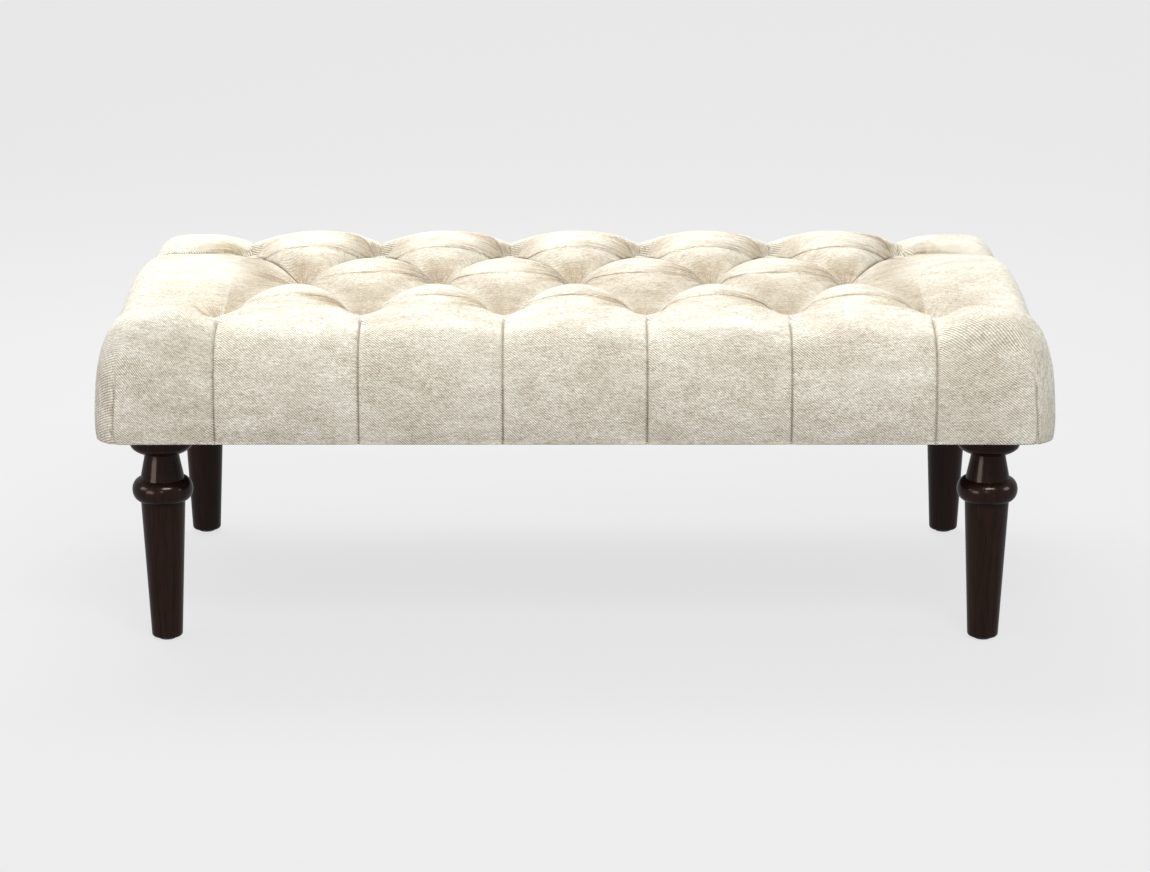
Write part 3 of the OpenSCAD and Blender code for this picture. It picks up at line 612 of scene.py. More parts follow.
def shade_marks(x, y, z):
    """How deep a point lies in the field, which sets the painted shade of its hollows, how far it
    is from a pleat, and how strong the painted shade along that pleat is.
    """
    ax, ay = np.abs(x), np.abs(y)
    hollow = smooth((HOLLOW_Z - z) / 18) * (0.45 + 0.55 * smooth((z - 400) / 20))
    hollow = hollow * smooth((ROW_GAP + 6 - ay) / 12) * (z > 380)
    hollow = hollow * smooth((HOLLOW_END_X - ax) / 40)
    wave = np.abs(np.mod((x + FIELD_X) / HALF_PITCH, 2) - 1)
    share = np.clip(ay / ROW_GAP, 0, 1)
    of_puff = 1 - wave / np.maximum(share, 0.01)
    of_diamond = 1 - (1 - wave) / np.maximum(1 - share, 0.01)
    middle = np.where(wave < share, of_puff, of_diamond)
    middle = np.where(ax > FIELD_X, 0.4 * (1 - share), middle)
    hollow = hollow * (0.35 + 0.65 * smooth(middle / 0.6))

    to_pleat = (wave - ay / ROW_GAP) * HALF_PITCH * 0.92
    to_pleat = np.where(ay > ROW_GAP, (1 - wave) * HALF_PITCH, to_pleat)
    to_pleat = np.where(ax > FIELD_X, ROW_GAP - ay, to_pleat)
    in_corner = (ax > FIELD_X) & (ay > ROW_GAP)
    to_pleat = np.where(in_corner, np.minimum(ax - FIELD_X, ay - ROW_GAP), to_pleat)
    fold_x = FOLD_X - 1 + 3.6 * smooth((SQUARE_Z - z) / SQUARE_FADE)
    at_fold = in_corner & (z < FOLD_TOP_Z - 4) & (np.abs(ax - fold_x) < 20)
    at_fold = at_fold & (ay > HALF_D - CORNER_R)
    to_pleat = np.where(at_fold, ax - fold_x, to_pleat)
    in_field = (ay < ROW_GAP + 1) & (ax < FIELD_X + 1)
    pleat_shade = np.where(in_field, 1.0, 0.45 * (z < 421)) * (z > HEM_Z + 0.5)
    return hollow, to_pleat / 1000, pleat_shade


def mark_folds(obj):
    mesh = obj.data
    co = np.empty(len(mesh.vertices) * 3)
    mesh.vertices.foreach_get("co", co)
    x, y, z = co.reshape(-1, 3).T * 1000
    marks = {"to_tuft": tuft_marks, "crease": crease_marks, "hollow": shade_marks}
    for name, values_of in marks.items():
        mark = mesh.attributes.new(name, "FLOAT_VECTOR", "POINT")
        mark.data.foreach_set("vector", np.column_stack(values_of(x, y, z)).ravel())
    print("marks:", list(marks))


# %% [markdown]
# ## Crests and pleats
# A crest is the highest line of a puff, and a pleat the lowest line between two. Each is a
# height along its own run. `kinked` gives a crest with a crease in it, and `falling` a slope
# that starts softly past the top of a puff.

# %% Crests and pleats
def falling(distance, slope):
    distance = np.maximum(0.0, distance)
    return slope * (np.sqrt(distance**2 + FALL_BEND**2) - FALL_BEND)


def kinked(t, crease, share):
    """Rises from 0 to 1: steeply up to the crease, where it reaches `share`, then rounding off."""
    below = share * np.clip(t / crease, 0, 1) ** 1.45
    above = (1 - share) * np.sin(np.pi / 2 * np.clip((t - crease) / (1 - crease), 0, 1))
    return below + above


def edge_crest(s, side):
    """Crest of a front (side -1) or back puff, at a distance from the middle row."""
    if side > 0:
        swell = kinked(s / EDGE_APEX, BACK_CREASE / EDGE_APEX, 0.90)
        return PLEAT_Z + EDGE_RISE * swell - falling(s - EDGE_APEX, CREST_FALL)
    swell = np.sin(np.pi / 2 * np.clip(s / EDGE_APEX, 0, 1)) ** 1.7
    past = np.maximum(0, s - FRONT_CREASE)
    crest = PLEAT_Z + EDGE_RISE * swell - falling(s - EDGE_APEX, 0.05)
    return crest - 0.12 * past - 0.0006 * past**2


def diamond_crest(wide, side):
    """Crest of a diamond, from its tip to its middle; its front half has the crease."""
    if side < 0:
        swell = kinked(wide, 1 - DIAMOND_CREASE / ROW_GAP, 0.95)
    else:
        swell = np.sin(np.pi / 2 * wide) ** 1.7
    return PLEAT_Z + DIAMOND_RISE * swell


def end_crest(s):
    swell = np.sin(np.pi / 2 * np.clip(s / END_APEX, 0, 1)) ** 1.2
    return PLEAT_Z + END_RISE * swell - falling(s - END_APEX, 0.06)


def corner_crest(x, y, d):
    """Crest of a corner puff, at a distance from its tuft; it stands higher at the front."""
    swell = np.sin(np.pi / 2 * np.clip(d / CORNER_REACH, 0, 1)) ** 1.1
    falls = falling(np.abs(y) - ROW_GAP - 10, 0.20) + falling(np.abs(x) - FIELD_X - 105, 0.06)
    lean = -8.5 * np.sign(y) * smooth(d / CORNER_REACH)
    return PLEAT_Z + CORNER_RISE * swell - falls + lean


def pleat_level(wide):
    """Height of a pleat in the field: it rises a little between its two tufts."""
    return PLEAT_Z + PLEAT_RISE * np.sin(np.pi * wide)


def off_tuft(off):
    """1 along the row between two tufts, 0 at a tuft."""
    return 1 - smooth((off - 0.62) / 0.38)


def shoulder(side):
    return FRONT_SHOULDER_Z if side < 0 else BACK_SHOULDER_Z


def off_steps(count):
    """Stations from crest to pleat, closer together towards the pleat."""
    return np.sin(np.pi / 2 * np.arange(count + 1) / count)


def detail(x, y, fine):
    height = -dimples(x, y)
    if fine:
        height += wrinkles(x, y) + creases(x, y)
    return height


# %% [markdown]
# ## Patches of the tufted field
# A block is a grid of points with the way that its layers are offset, and its UV. The UV is
# the length along the cloth, so the weave isn't stretched on the flanks. For each patch a crest
# and a pleat are given, and a rounded section joins them.

# %% Patches of the field
def run_length(x, y, z, axis):
    """Length along the grid's lines, from their first point."""
    steps = np.sqrt(sum(np.diff(values, axis=axis) ** 2 for values in (x, y, z)))
    start = np.zeros_like(np.take(steps, [0], axis=axis))
    return np.concatenate([start, np.cumsum(steps, axis=axis)], axis=axis)


def half_pitch(c):
    """Where the crest of a half pitch starts, and which way its pleat lies."""
    return (-FIELD_X + HALF_PITCH * c, 1) if c % 2 == 0 else (-FIELD_X + HALF_PITCH * (c + 1), -1)


def laid(x, y, z, fine):
    """The heights with their small folds, and the lengths across and along the cloth."""
    z = z + detail(x, y, fine)
    return z, run_length(x, y, z, 1), run_length(x, y, z, 0)[:, :1]


def field_block(x, y, z, u, v):
    down = np.stack([np.zeros_like(x), np.zeros_like(x), -np.ones_like(x)], -1)
    return {"p": np.stack([x, y, z], -1), "lean": down, "uv": np.stack([u, v], -1)}


def puff_patch(x0, sx, side, w, off, fine):
    """Half of a front or back puff, from its tip in the middle row out to the row of tufts."""
    to_row = smooth((w - 0.5) / 0.5)
    low = pleat_level(w) + (shoulder(side) - PLEAT_Z) * to_row * off_tuft(off)
    x = x0 + sx * (1 - off * w) * HALF_PITCH
    y = side * w * ROW_GAP
    section = (1 - to_row) * np.maximum(0, 1 - off**2) ** 0.6 + to_row * (1 - off**2)
    crest = edge_crest(w * ROW_GAP, side)
    z, across, along = laid(x, y, low + (crest - low) * section, fine)
    u = x0 + sx * HALF_PITCH - sx * across
    return field_block(x, y, z, u, side * along + 0 * across)


def end_patch(x0, sx, side, w, off, fine):
    """Half of an end puff, from its tip in the middle row out to the end of the field."""
    to_row = smooth((w - 0.5) / 0.5)
    low = pleat_level(w)
    x = x0 + sx * (1 - w) * HALF_PITCH
    y = side * off * w * ROW_GAP
    section = (1 - to_row) * np.maximum(0, 1 - off**2) ** 0.6
    section = section + to_row * np.maximum(0, 1 - off**2) ** 1.5
    z, across, along = laid(x, y, low + (end_crest(w * HALF_PITCH) - low) * section, fine)
    u = x0 + sx * HALF_PITCH - sx * along + 0 * across
    return field_block(x, y, z, u, side * across)


def diamond_patch(x0, sx, side, w, off, fine):
    """A quarter of a diamond, from its tip in the outer row in to the middle row."""
    low = pleat_level(w)
    x = x0 + sx * off * w * HALF_PITCH
    y = side * (1 - w) * ROW_GAP
    section = np.maximum(0, 1 - off**2) ** 0.6
    crest = np.maximum(diamond_crest(w, side), low)
    z, across, along = laid(x, y, low + (crest - low) * section, fine)
    return field_block(x, y, z, x0 + sx * across, side * (along[-1:] - along) + 0 * across)


def field_blocks(n, m, m_end, fine):
    """All patches, and the UV that each border station passes on to the rolled edge."""
    blocks, border = [], {}
    wide = np.arange(n + 1) / n
    w, off = np.meshgrid(wide, off_steps(m), indexing="ij")
    w_end, off_end = np.meshgrid(wide, off_steps(m_end), indexing="ij")
    for c in range(HALF_PITCHES):
        x0, sx = half_pitch(c)
        for side in (-1, 1):
            puff = puff_patch(x0, sx, side, w, off, fine)
            border["front", c, side] = puff["uv"][-1].T
            if c in (0, HALF_PITCHES - 1):
                inward = end_patch(x0, sx, side, w_end, off_end, fine)
                border["end", sx, side] = inward["uv"][-1].T
            else:
                inward = diamond_patch(x0, sx, side, w, off, fine)
            blocks += [puff, inward]
    return blocks, border


# %% [markdown]
# ## The rolled edge
# From the field's border each puff runs on over the edge, down the face to the hem, and a
# little way in under the rails. A crest and a pleat are drawn for each ring, and the points
# between them lie on the puff's section. The four corners fan out from one tuft each. Low down
# they are squarer, and a pressed fold beside each corner tucks the spare cloth away.

# %% Rings of the edge
def ring_rows(count):
    """The rings of a strip: the stage that each is in, and how far through it, from 0 to 1."""
    top, roll, face = int(count * 0.3), int(count * 0.4), int(count * 0.18)
    rows = [("top", k / top) for k in range(top + 1)]
    for stage, steps in (("roll", roll), ("face", face), ("hem", 4), ("flange", 3)):
        rows += [(stage, k / steps) for k in range(1, steps + 1)]
    return rows


def edge_profile(kind, outline, way, reach, off):
    """A strip's crest height, pleat height and section, as functions of how far in a ring is."""
    turn = np.clip((np.arange(len(off)) / (len(off) - 1) - 0.35) / 0.3, 0, 1)
    to_end = {"front": 0.0, "corner": smooth(turn), "end": 1.0}[kind]
    at_tuft = 1 - off_tuft(off) if kind == "front" else 1.0

    def pleat_height(inset):
        out = np.maximum(0, HALF_D - ROW_GAP - inset)
        near = np.exp(-(((reach - inset) / SHOULDER_REACH) ** 2))
        front_z = shoulder(outline[0, 1])
        front = front_z - falling(out - 14, SHOULDER_FALL) - (front_z - PLEAT_Z) * near * at_tuft
        end = END_PLEAT_Z - (END_PLEAT_Z - PLEAT_Z) * near
        return front + (end - front) * to_end

    def crest_height(inset):
        x, y = (outline + way * inset[:, None]).T
        if kind == "front":
            return edge_crest(np.abs(y), np.sign(y[0]))
        if kind == "end":
            return end_crest(HALF_PITCH + reach - inset)
        return corner_crest(x, y, reach - inset)

    def section_at(inset):
        """The section from 1 at the crest to 0 at the pleat, and the puff's half width."""
        if kind == "front":
            return 1 - off**2, HALF_PITCH
        if kind == "end":
            return np.maximum(0, 1 - off**2) ** 1.5, ROW_GAP
        far = smooth((reach - inset) / CORNER_REACH)
        fan = np.minimum((reach - inset) * 0.75, HALF_PITCH)
        return (1 - far) * np.maximum(0, 1 - off**2) ** 0.6 + far * (1 - off**2), fan

    return crest_height, pleat_height, section_at


def ring_shape(stage, t, reach, roll_w, crest_height, pleat_height):
    """One ring: how far in its crest and pleat are, their heights, its share of the top, lean."""
    level = np.ones_like(reach)
    if stage == "top":
        inset = reach + (roll_w - reach) * t
        return inset, inset, crest_height(inset), pleat_height(inset), 1.0, (0, 1)
    if stage == "roll":
        angle = math.pi / 2 * (1 - t)
        rise = math.sin(angle) ** (2 / ROLL_FULLNESS)
        crest = roll_w * (1 - math.cos(angle) ** (2 / ROLL_FULLNESS))
        crest_z = BELLY_Z + (crest_height(crest) - BELLY_Z) * rise
        pleat_z = BELLY_Z + (pleat_height(crest) - BELLY_Z) * rise
        lean = (math.cos(angle), math.sin(angle))
        return crest, crest + PLEAT_IN * (1 - rise), crest_z, pleat_z, rise**3, lean
    if stage == "face":
        crest = level * HEM_TUCK * 0.6 * t**1.8
        z = level * (BELLY_Z + (HEM_Z + HEM_ROUND - BELLY_Z) * t)
        return crest, crest + PLEAT_IN, z, z, 0.0, (1, 0)
    if stage == "hem":
        angle = math.pi / 2 * t
        crest = level * (HEM_TUCK * 0.6 + HEM_TUCK * 0.4 * (1 - math.cos(angle)))
        z = level * (HEM_Z + HEM_ROUND * (1 - math.sin(angle)))
        lean = (math.cos(angle), -math.sin(angle))
        return crest, crest + PLEAT_IN * (1 - t), z, z, 0.0, lean
    inset = level * (HEM_TUCK + FLANGE_W * t)
    return inset, inset, level * HEM_Z, level * HEM_Z, 0.0, (0, -1)


# %% [markdown]
# ## Corners and the cloth's UV on the edge
# A UV that only grew with the length would tear where two puffs meet, so it settles down the
# face: every station then counts the same length. On a corner the front's cloth and the end's
# cloth meet at the pressed fold, which hides the change of direction.

# %% Corners and UV of the edge
def corner_moves(place, z, way, outline, pressed):
    """Squares a corner low down, and presses the fold into it: a shallow groove with one lip."""
    turned = (np.abs(outline) - (HALF_W - CORNER_R, HALF_D - CORNER_R)) / CORNER_R
    turned = np.clip(turned, 0, 1)
    square = CORNER_SQUARE * turned[:, 0] * turned[:, 1] * smooth((SQUARE_Z - z) / SQUARE_FADE)
    place = place - way * square[:, None]
    if pressed:
        beside = np.abs(outline[:, 0]) - FOLD_X
        deep = smooth((FOLD_TOP_Z - z) / 12)
        on_front = np.abs(outline[:, 1]) > HALF_D - CORNER_R
        fold = 3.0 * np.exp(-((beside / 1.3) ** 2)) - 1.1 * np.exp(-(((beside - 4) / 4) ** 2))
        place = place + way * (np.where(on_front, fold, 0) * deep)[:, None]
    return place


def strip_uv(kind, uv, outline, run):
    """UV of a ring on a straight side, which goes on from the field's border."""
    u, v = uv
    end, side = np.sign(outline).T
    settle = smooth(run / 90)
    level = run + (run[0] - run) * settle
    if kind == "front":
        return np.column_stack([u + (outline[:, 0] - u) * settle, v + side * level])
    return np.column_stack([u + end * level, v + (outline[:, 1] - v) * settle])


def corner_uv(outline, start, drop):
    """UV of a ring on a corner, which goes on from the plan at the start of the roll."""
    end, side = np.sign(outline).T
    settle = smooth(drop / 70)
    drop = drop + (drop[len(drop) // 2] - drop) * settle
    outline_run = np.concatenate([[0], np.cumsum(np.hypot(*np.diff(outline, axis=0).T))])
    arc_end = HALF_W - CORNER_R - FIELD_X + math.pi / 2 * CORNER_R
    along = side * (HALF_D - CORNER_R - (outline_run - arc_end))
    front = [start[:, 0] + (outline[:, 0] - start[:, 0]) * settle, start[:, 1] + side * drop]
    ending = [start[:, 0] + end * drop, start[:, 1] + (along - start[:, 1]) * settle]
    beyond = (np.abs(outline[:, 0]) > FOLD_X)[:, None]
    return np.where(beyond, np.column_stack(ending), np.column_stack(front))


# %% Strips of the edge
def edge_block(kind, inner, outline, off, uv, rings, fine):
    """A strip from the border points `inner` to the outline, as a block."""
    inner, outline = np.array(inner, float), np.array(outline, float)
    reach = np.hypot(*(inner - outline).T)
    way = (inner - outline) / reach[:, None]
    roll_w = ROLL_W * np.ones_like(reach)
    if kind == "corner":
        roll_w = ROLL_W + (CORNER_ROLL_W - ROLL_W) * (1 - off**4)
    crest_height, pleat_height, section_at = edge_profile(kind, outline, way, reach, off)
    points, leans, uvs = [], [], []
    run, last = np.zeros_like(reach), None

    for stage, t in ring_rows(rings):
        crest, pleat, crest_z, pleat_z, on_top, lean = ring_shape(
            stage, t, reach, roll_w, crest_height, pleat_height
        )
        section, half = section_at(crest)
        groove = np.exp(-(((1 - off) * half / SLIT_W) ** 2))
        inset = pleat + (crest - pleat) * section
        opening = smooth((reach - inset - 22) / 20) if stage == "top" else 1.0
        z = pleat_z + (crest_z - pleat_z) * section - on_top * opening * SLIT_DEPTH * groove
        if stage in ("roll", "face"):
            inset = inset + (1 - on_top) * FACE_PUFF * groove
        if stage == "hem":
            inset = inset + (1 - t) * FACE_PUFF * groove
        place = outline + way * inset[:, None]
        if stage in ("top", "roll"):
            z = z + on_top * detail(place[:, 0], place[:, 1], fine)
        if kind == "corner" and stage != "top":
            place = corner_moves(place, z, way, outline, fine and stage != "flange")

        now = np.column_stack([place, z])
        if last is not None:
            run = run + np.linalg.norm(now - last, axis=1)
        last = now
        if kind != "corner":
            ring_uv = strip_uv(kind, uv, outline, run)
        elif stage == "top":
            ring_uv, roll_start, roll_run = place, place, run
        else:
            ring_uv = corner_uv(outline, roll_start, run - roll_run)
        points.append(now)
        leans.append(np.column_stack([way * lean[0], np.full_like(reach, -lean[1])]))
        uvs.append(ring_uv)
    return {"p": np.array(points), "lean": np.array(leans), "uv": np.array(uvs)}


def corner_outline(m, side_x, side_y):
    """Stations round a corner: more of them near its pleats and near the pressed fold."""
    arc_x, arc_y = HALF_W - CORNER_R, HALF_D - CORNER_R
    front, arc, end = arc_x - FIELD_X, math.pi / 2 * CORNER_R, arc_y - ROW_GAP
    total = front + arc + end
    steps = off_steps(m)
    share = np.concatenate([(1 - steps[::-1]) / 2, (1 + steps[1:]) / 2])
    fold = front + CORNER_R * math.asin((FOLD_X - arc_x) / CORNER_R)
    close = fold + np.array([-9, -6, -4, -2.6, -1.6, -0.8, 0, 0.8, 1.6, 2.6, 4, 6, 9])
    far = np.abs(share * total - fold) > 11
    d = np.sort(np.concatenate([share[far] * total, close]))
    turn = np.clip((d - front) / CORNER_R, 0, math.pi / 2)
    x = np.where(d < front, FIELD_X + d, arc_x + CORNER_R * np.sin(turn))
    y = np.where(d < front + arc, arc_y + CORNER_R * np.cos(turn), arc_y - (d - front - arc))
    outline = np.column_stack([side_x * x, side_y * y])
    return outline, np.abs(2 * d / total - 1)


def edge_blocks(border, m, m_end, m_corner, rings, fine):
    blocks = []
    for side in (-1, 1):
        off = off_steps(m)
        for c in range(HALF_PITCHES):
            x0, sx = half_pitch(c)
            x = x0 + sx * (1 - off) * HALF_PITCH
            inner = np.column_stack([x, np.full_like(x, side * ROW_GAP)])
            outer = np.column_stack([x, np.full_like(x, side * HALF_D)])
            uv = border["front", c, side]
            blocks.append(edge_block("front", inner, outer, off, uv, rings, fine))
        off = off_steps(m_end)
        for end in (-1, 1):
            y = side * off * ROW_GAP
            inner = np.column_stack([np.full_like(y, end * FIELD_X), y])
            outer = np.column_stack([np.full_like(y, end * HALF_W), y])
            uv = border["end", -end, side]
            blocks.append(edge_block("end", inner, outer, off, uv, rings, fine))
            outline, corner_off = corner_outline(m_corner, end, side)
            inner = np.tile([end * FIELD_X, side * ROW_GAP], (len(corner_off), 1))
            blocks.append(edge_block("corner", inner, outline, corner_off, None, rings, fine))
    return blocks


# %% [markdown]
# ## Layers
# The blocks are welded into one skin. A layer has two skins with the same faces, the second
# pushed in by the layer's depth, and a rim wherever a skin ends: at the hem and at each tuft.
# A Solidify modifier would do for an even depth, but the foam's inner skin has its own shape.

# %% Layers
WELD_GRID = 0.02


def weld(blocks):
    """One skin: points, ways to offset, faces and the UV of their corners."""
    points = np.concatenate([b["p"].reshape(-1, 3) for b in blocks])
    leans = np.concatenate([b["lean"].reshape(-1, 3) for b in blocks])
    uvs = np.concatenate([b["uv"].reshape(-1, 2) for b in blocks])
    keys = np.round(points / WELD_GRID).astype(np.int64)
    _, first, same = np.unique(keys, axis=0, return_index=True, return_inverse=True)
    same = same.reshape(-1)
    faces, face_uvs, start = [], [], 0
    for block in blocks:
        rows, cols = block["p"].shape[:2]
        grid = start + np.arange(rows * cols).reshape(rows, cols)
        quads = np.stack([grid[:-1, :-1], grid[1:, :-1], grid[1:, 1:], grid[:-1, 1:]], -1)
        quads = quads.reshape(-1, 4)
        a, b, c = (points[quads[:, k]] for k in range(3))
        facing = np.einsum("ij,ij->i", np.cross(b - a, c - a), leans[quads[:, 0]])
        if facing.sum() > 0:
            quads = quads[:, ::-1]
        start += rows * cols
        for quad in quads:
            corners = []
            for p in quad:
                if not corners or (same[p] != same[corners[-1]] and same[p] != same[corners[0]]):
                    corners.append(p)
            if len(corners) > 2 and len({int(same[p]) for p in corners}) == len(corners):
                faces.append([int(same[p]) for p in corners])
                face_uvs.append([uvs[p] for p in corners])
    return points[first], leans[first], faces, face_uvs


def opened(points, faces, face_uvs, radius):
    """The skin without the faces that lie within `radius` of a tuft."""
    to_tufts = np.hypot(points[:, None, 0] - TUFTS[:, 0], points[:, None, 1] - TUFTS[:, 1])
    near = (np.min(to_tufts, 1) < radius) & (points[:, 2] > HEM_Z + 60)
    kept = [i for i, f in enumerate(faces) if not all(near[p] for p in f)]
    return [faces[i] for i in kept], [face_uvs[i] for i in kept]


def build_mesh(name, points, faces, face_uvs, slot_material):
    mesh = bpy.data.meshes.new(name)
    used = sorted({p for f in faces for p in f})
    index = {p: i for i, p in enumerate(used)}
    mesh.from_pydata((points[used] / 1000).tolist(), [], [[index[p] for p in f] for f in faces])
    layer = mesh.uv_layers.new(name="cloth")
    flat = np.array([uv for f in face_uvs for uv in f]) / 1000
    layer.data.foreach_set("uv", flat.ravel())
    mesh.shade_smooth()
    mesh.materials.append(slot_material)
    return shown(name, mesh)


def two_skins(name, faces, face_uvs, outer, inner, hole, slot_material):
    """A closed layer between two sets of points on one skin."""
    count = len(outer)
    faces, face_uvs = opened(outer, faces, face_uvs, hole)
    edges = {}
    for f, uv in zip(faces, face_uvs):
        for k in range(len(f)):
            edges[(f[k], f[(k + 1) % len(f)])] = (uv[k], uv[(k + 1) % len(f)])
    rim, rim_uvs = [], []
    for (a, b), (uv_a, uv_b) in edges.items():
        if (b, a) not in edges:
            rim.append([b, a, a + count, b + count])
            rim_uvs.append([uv_b, uv_a, uv_a, uv_b])
    inside = [[p + count for p in reversed(f)] for f in faces]
    inside_uvs = [list(reversed(uv)) for uv in face_uvs]
    both = np.concatenate([outer, inner])
    all_uvs = face_uvs + inside_uvs + rim_uvs
    return build_mesh(name, both, faces + inside + rim, all_uvs, slot_material)


# %% [markdown]
# ## Cover
# The cover is one thickness of cloth, pulled into a small hole at each tuft. It is built
# finely, because its folds and slits show. While other pieces are worked on, wider steps do.

# %% Cover
fine_steps = dict(n=60, m=26, m_end=56, m_corner=22, rings=84)
COVER_HOLE = 2.4


def skin_of(n, m, m_end, m_corner, rings, fine):
    blocks, border = field_blocks(n, m, m_end, fine)
    return weld(blocks + edge_blocks(border, m, m_end, m_corner, rings, fine))


points, leans, faces, face_uvs = skin_of(fine=True, **fine_steps)
cover_in = points + COVER_T * leans
cover = two_skins("cushion_cover", faces, face_uvs, points, cover_in, COVER_HOLE, cloth)
mark_folds(cover)
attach(cover, "root")
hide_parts("seat_cover")
print("cover faces:", len(cover.data.polygons))

# %% [markdown]
# ## Batting and foam
# The batting and the foam lie under the cover and follow the same surface with wider steps. The
# foam has a wider hole at each tuft, as the cored block has. Its inner skin is pressed onto the
# deck and the rails, as real foam is cut to fit the frame.

# %% Batting and foam
points, leans, faces, face_uvs = skin_of(n=20, m=10, m_end=20, m_corner=8, rings=36, fine=False)
above_hem = points[:, 2] > HEM_Z + HEM_ROUND + 1
whole = [i for i, f in enumerate(faces) if all(above_hem[p] for p in f)]
faces, face_uvs = [faces[i] for i in whole], [face_uvs[i] for i in whole]

AIR, CLEAR, CLEAR_Z = 1.4, 0.4, 0.3
BATTING_HOLE, FOAM_HOLE = 3.0, 10.0
cover_gap = COVER_T + AIR
foam_depth = cover_gap + BATTING_T
batting = two_skins(
    "cushion_batting", faces, face_uvs,
    points + cover_gap * leans, points + (foam_depth - CLEAR) * leans, BATTING_HOLE, batting_fibre
)
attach(batting, "root")
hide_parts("batting")

foam_out = points + foam_depth * leans
foam_in = foam_out.copy()
foam_in[:, 0] = np.clip(foam_out[:, 0], -RAIL_X - CLEAR, RAIL_X + CLEAR)
foam_in[:, 1] = np.clip(foam_out[:, 1], -RAIL_Y - CLEAR, RAIL_Y + CLEAR)
outside = np.hypot(*(foam_out[:, :2] - foam_in[:, :2]).T) > 0.5
beside_rail = np.minimum(foam_out[:, 2] - 2, FOAM_Z + CLEAR_Z)
foam_in[:, 2] = np.where(outside, beside_rail, FOAM_Z + CLEAR_Z)
foam_in[:, 2] = np.maximum(foam_in[:, 2], RAIL_Z + CLEAR_Z)
foam_piece = two_skins("foam_layer", faces, face_uvs, foam_out, foam_in, FOAM_HOLE, foam)
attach(foam_piece, "root")
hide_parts("foam_block")
print("batting and foam faces:", len(batting.data.polygons), len(foam_piece.data.polygons))

# %% [markdown]
# ## Geometry Nodes helpers
# Repeated or ruled pieces are made by Geometry Nodes trees with named inputs. A tree is run
# once on an object and its result is kept as a plain mesh, with no modifier left on it.

# %% Geometry Nodes helpers
MERGE_GAP = 0.00002


def geometry_tree(name, inputs):
    """A new geometry tree with named inputs after its geometry; returns graph, in, out, ids."""
    tree = bpy.data.node_groups.new(name, "GeometryNodeTree")
    tree.interface.new_socket("Geometry", in_out="INPUT", socket_type="NodeSocketGeometry")
    ids = {}
    for kind, label in inputs:
        ids[label] = tree.interface.new_socket(label, in_out="INPUT", socket_type=kind).identifier
    tree.interface.new_socket("Geometry", in_out="OUTPUT", socket_type="NodeSocketGeometry")
    graph = Graph(tree)
    return graph, graph.add("NodeGroupInput"), graph.add("NodeGroupOutput"), ids


def end_tree(graph, geometry, finish, tree_out):
    """Ends a tree with Realize Instances and the finish."""
    real = graph.add("GeometryNodeRealizeInstances", {"Geometry": geometry})
    inputs = {"Geometry": real.outputs[0], "Material": finish}
    graph.put(graph.add("GeometryNodeSetMaterial", inputs).outputs[0], tree_out.inputs[0])


def run_tree(obj, tree, ids, values):
    """Runs the tree on the object once, and keeps the result as its mesh."""
    modifier = obj.modifiers.new("tree", "NODES")
    modifier.node_group = tree
    for label, value in values.items():
        modifier[ids[label]] = value
    evaluated = obj.evaluated_get(bpy.context.evaluated_depsgraph_get())
    mesh = bpy.data.meshes.new_from_object(evaluated)
    obj.modifiers.remove(modifier)
    old = obj.data
    obj.data = mesh
    bpy.data.meshes.remove(old)
    mesh.name = obj.name
    return obj


def close_up(obj, distance):
    """Merges what touches, and turns all faces outwards."""
    bm = bmesh.new()
    bm.from_mesh(obj.data)
    bmesh.ops.remove_doubles(bm, verts=bm.verts, dist=distance)
    bmesh.ops.recalc_face_normals(bm, faces=bm.faces)
    bm.to_mesh(obj.data)
    bm.free()


# %% [markdown]
# ## Turned legs
# Each leg was turned on a lathe: a long straight taper, a sharp bead, a short neck and a cup
# under the seat. A Screw modifier could spin an outline too, but the tree takes the outline,
# the number of segments and the leg's place as named inputs, so one tree makes all four. It
# bends a flat grid round the axis, and reads each ring's radius and height from the outline.

# %% The leg's outline
def leg_outline():
    """Radius and height in millimetres, from the middle of the foot to the middle of the top."""
    foot_r, foot_round = 20.0, 4.0
    leg_h, bead_h, bead_drop, bead_r = 277.4, 29.0, 64.5, 39.0
    taper_r, neck_low_r, neck_top_r, cup_r = 28.5, 28.25, 22.0, 40.0
    cup_h, band_h, band_round = 16.0, 18.0, 1.5
    bead_low = leg_h - bead_drop - bead_h
    bead_top = bead_low + bead_h
    core_r = (taper_r + neck_low_r) / 2
    cup_low = leg_h - band_h - cup_h
    outline = [(0.0, 0.0)]
    for t in np.radians(np.linspace(-90, 0, 8)):
        r = foot_r - foot_round + foot_round * math.cos(t)
        outline.append((r, foot_round + foot_round * math.sin(t)))
    for k in range(1, 41):
        share = k / 40
        r = foot_r + (taper_r - foot_r) * share
        outline.append((r, foot_round + (bead_low - foot_round) * share))
    for t in np.radians(np.linspace(-82, 82, 34)):
        r = core_r + (bead_r - core_r) * math.cos(t)
        outline.append((r, bead_low + bead_h / 2 * (1 + math.sin(t))))
    outline.append((neck_low_r, bead_top))
    for k in range(1, 9):
        share = k / 9
        r = neck_low_r + (neck_top_r - neck_low_r) * share
        outline.append((r, bead_top + (cup_low - bead_top) * share + 0.4 * share))
    for t in np.linspace(math.asin(neck_top_r / cup_r), math.pi / 2, 22):
        outline.append((cup_r * math.sin(t), cup_low + cup_h * (1 - math.cos(t))))
    outline += [(cup_r, leg_h - band_round), (cup_r - band_round, leg_h), (0.0, leg_h)]
    return np.array(outline)


outline = leg_outline()
outline_mesh = bpy.data.meshes.new("leg_outline")
outline_mesh.from_pydata([(r / 1000, 0.0, z / 1000) for r, z in outline], [], [])
outline_object = bpy.data.objects.new("leg_outline", outline_mesh)
print("outline points:", len(outline))

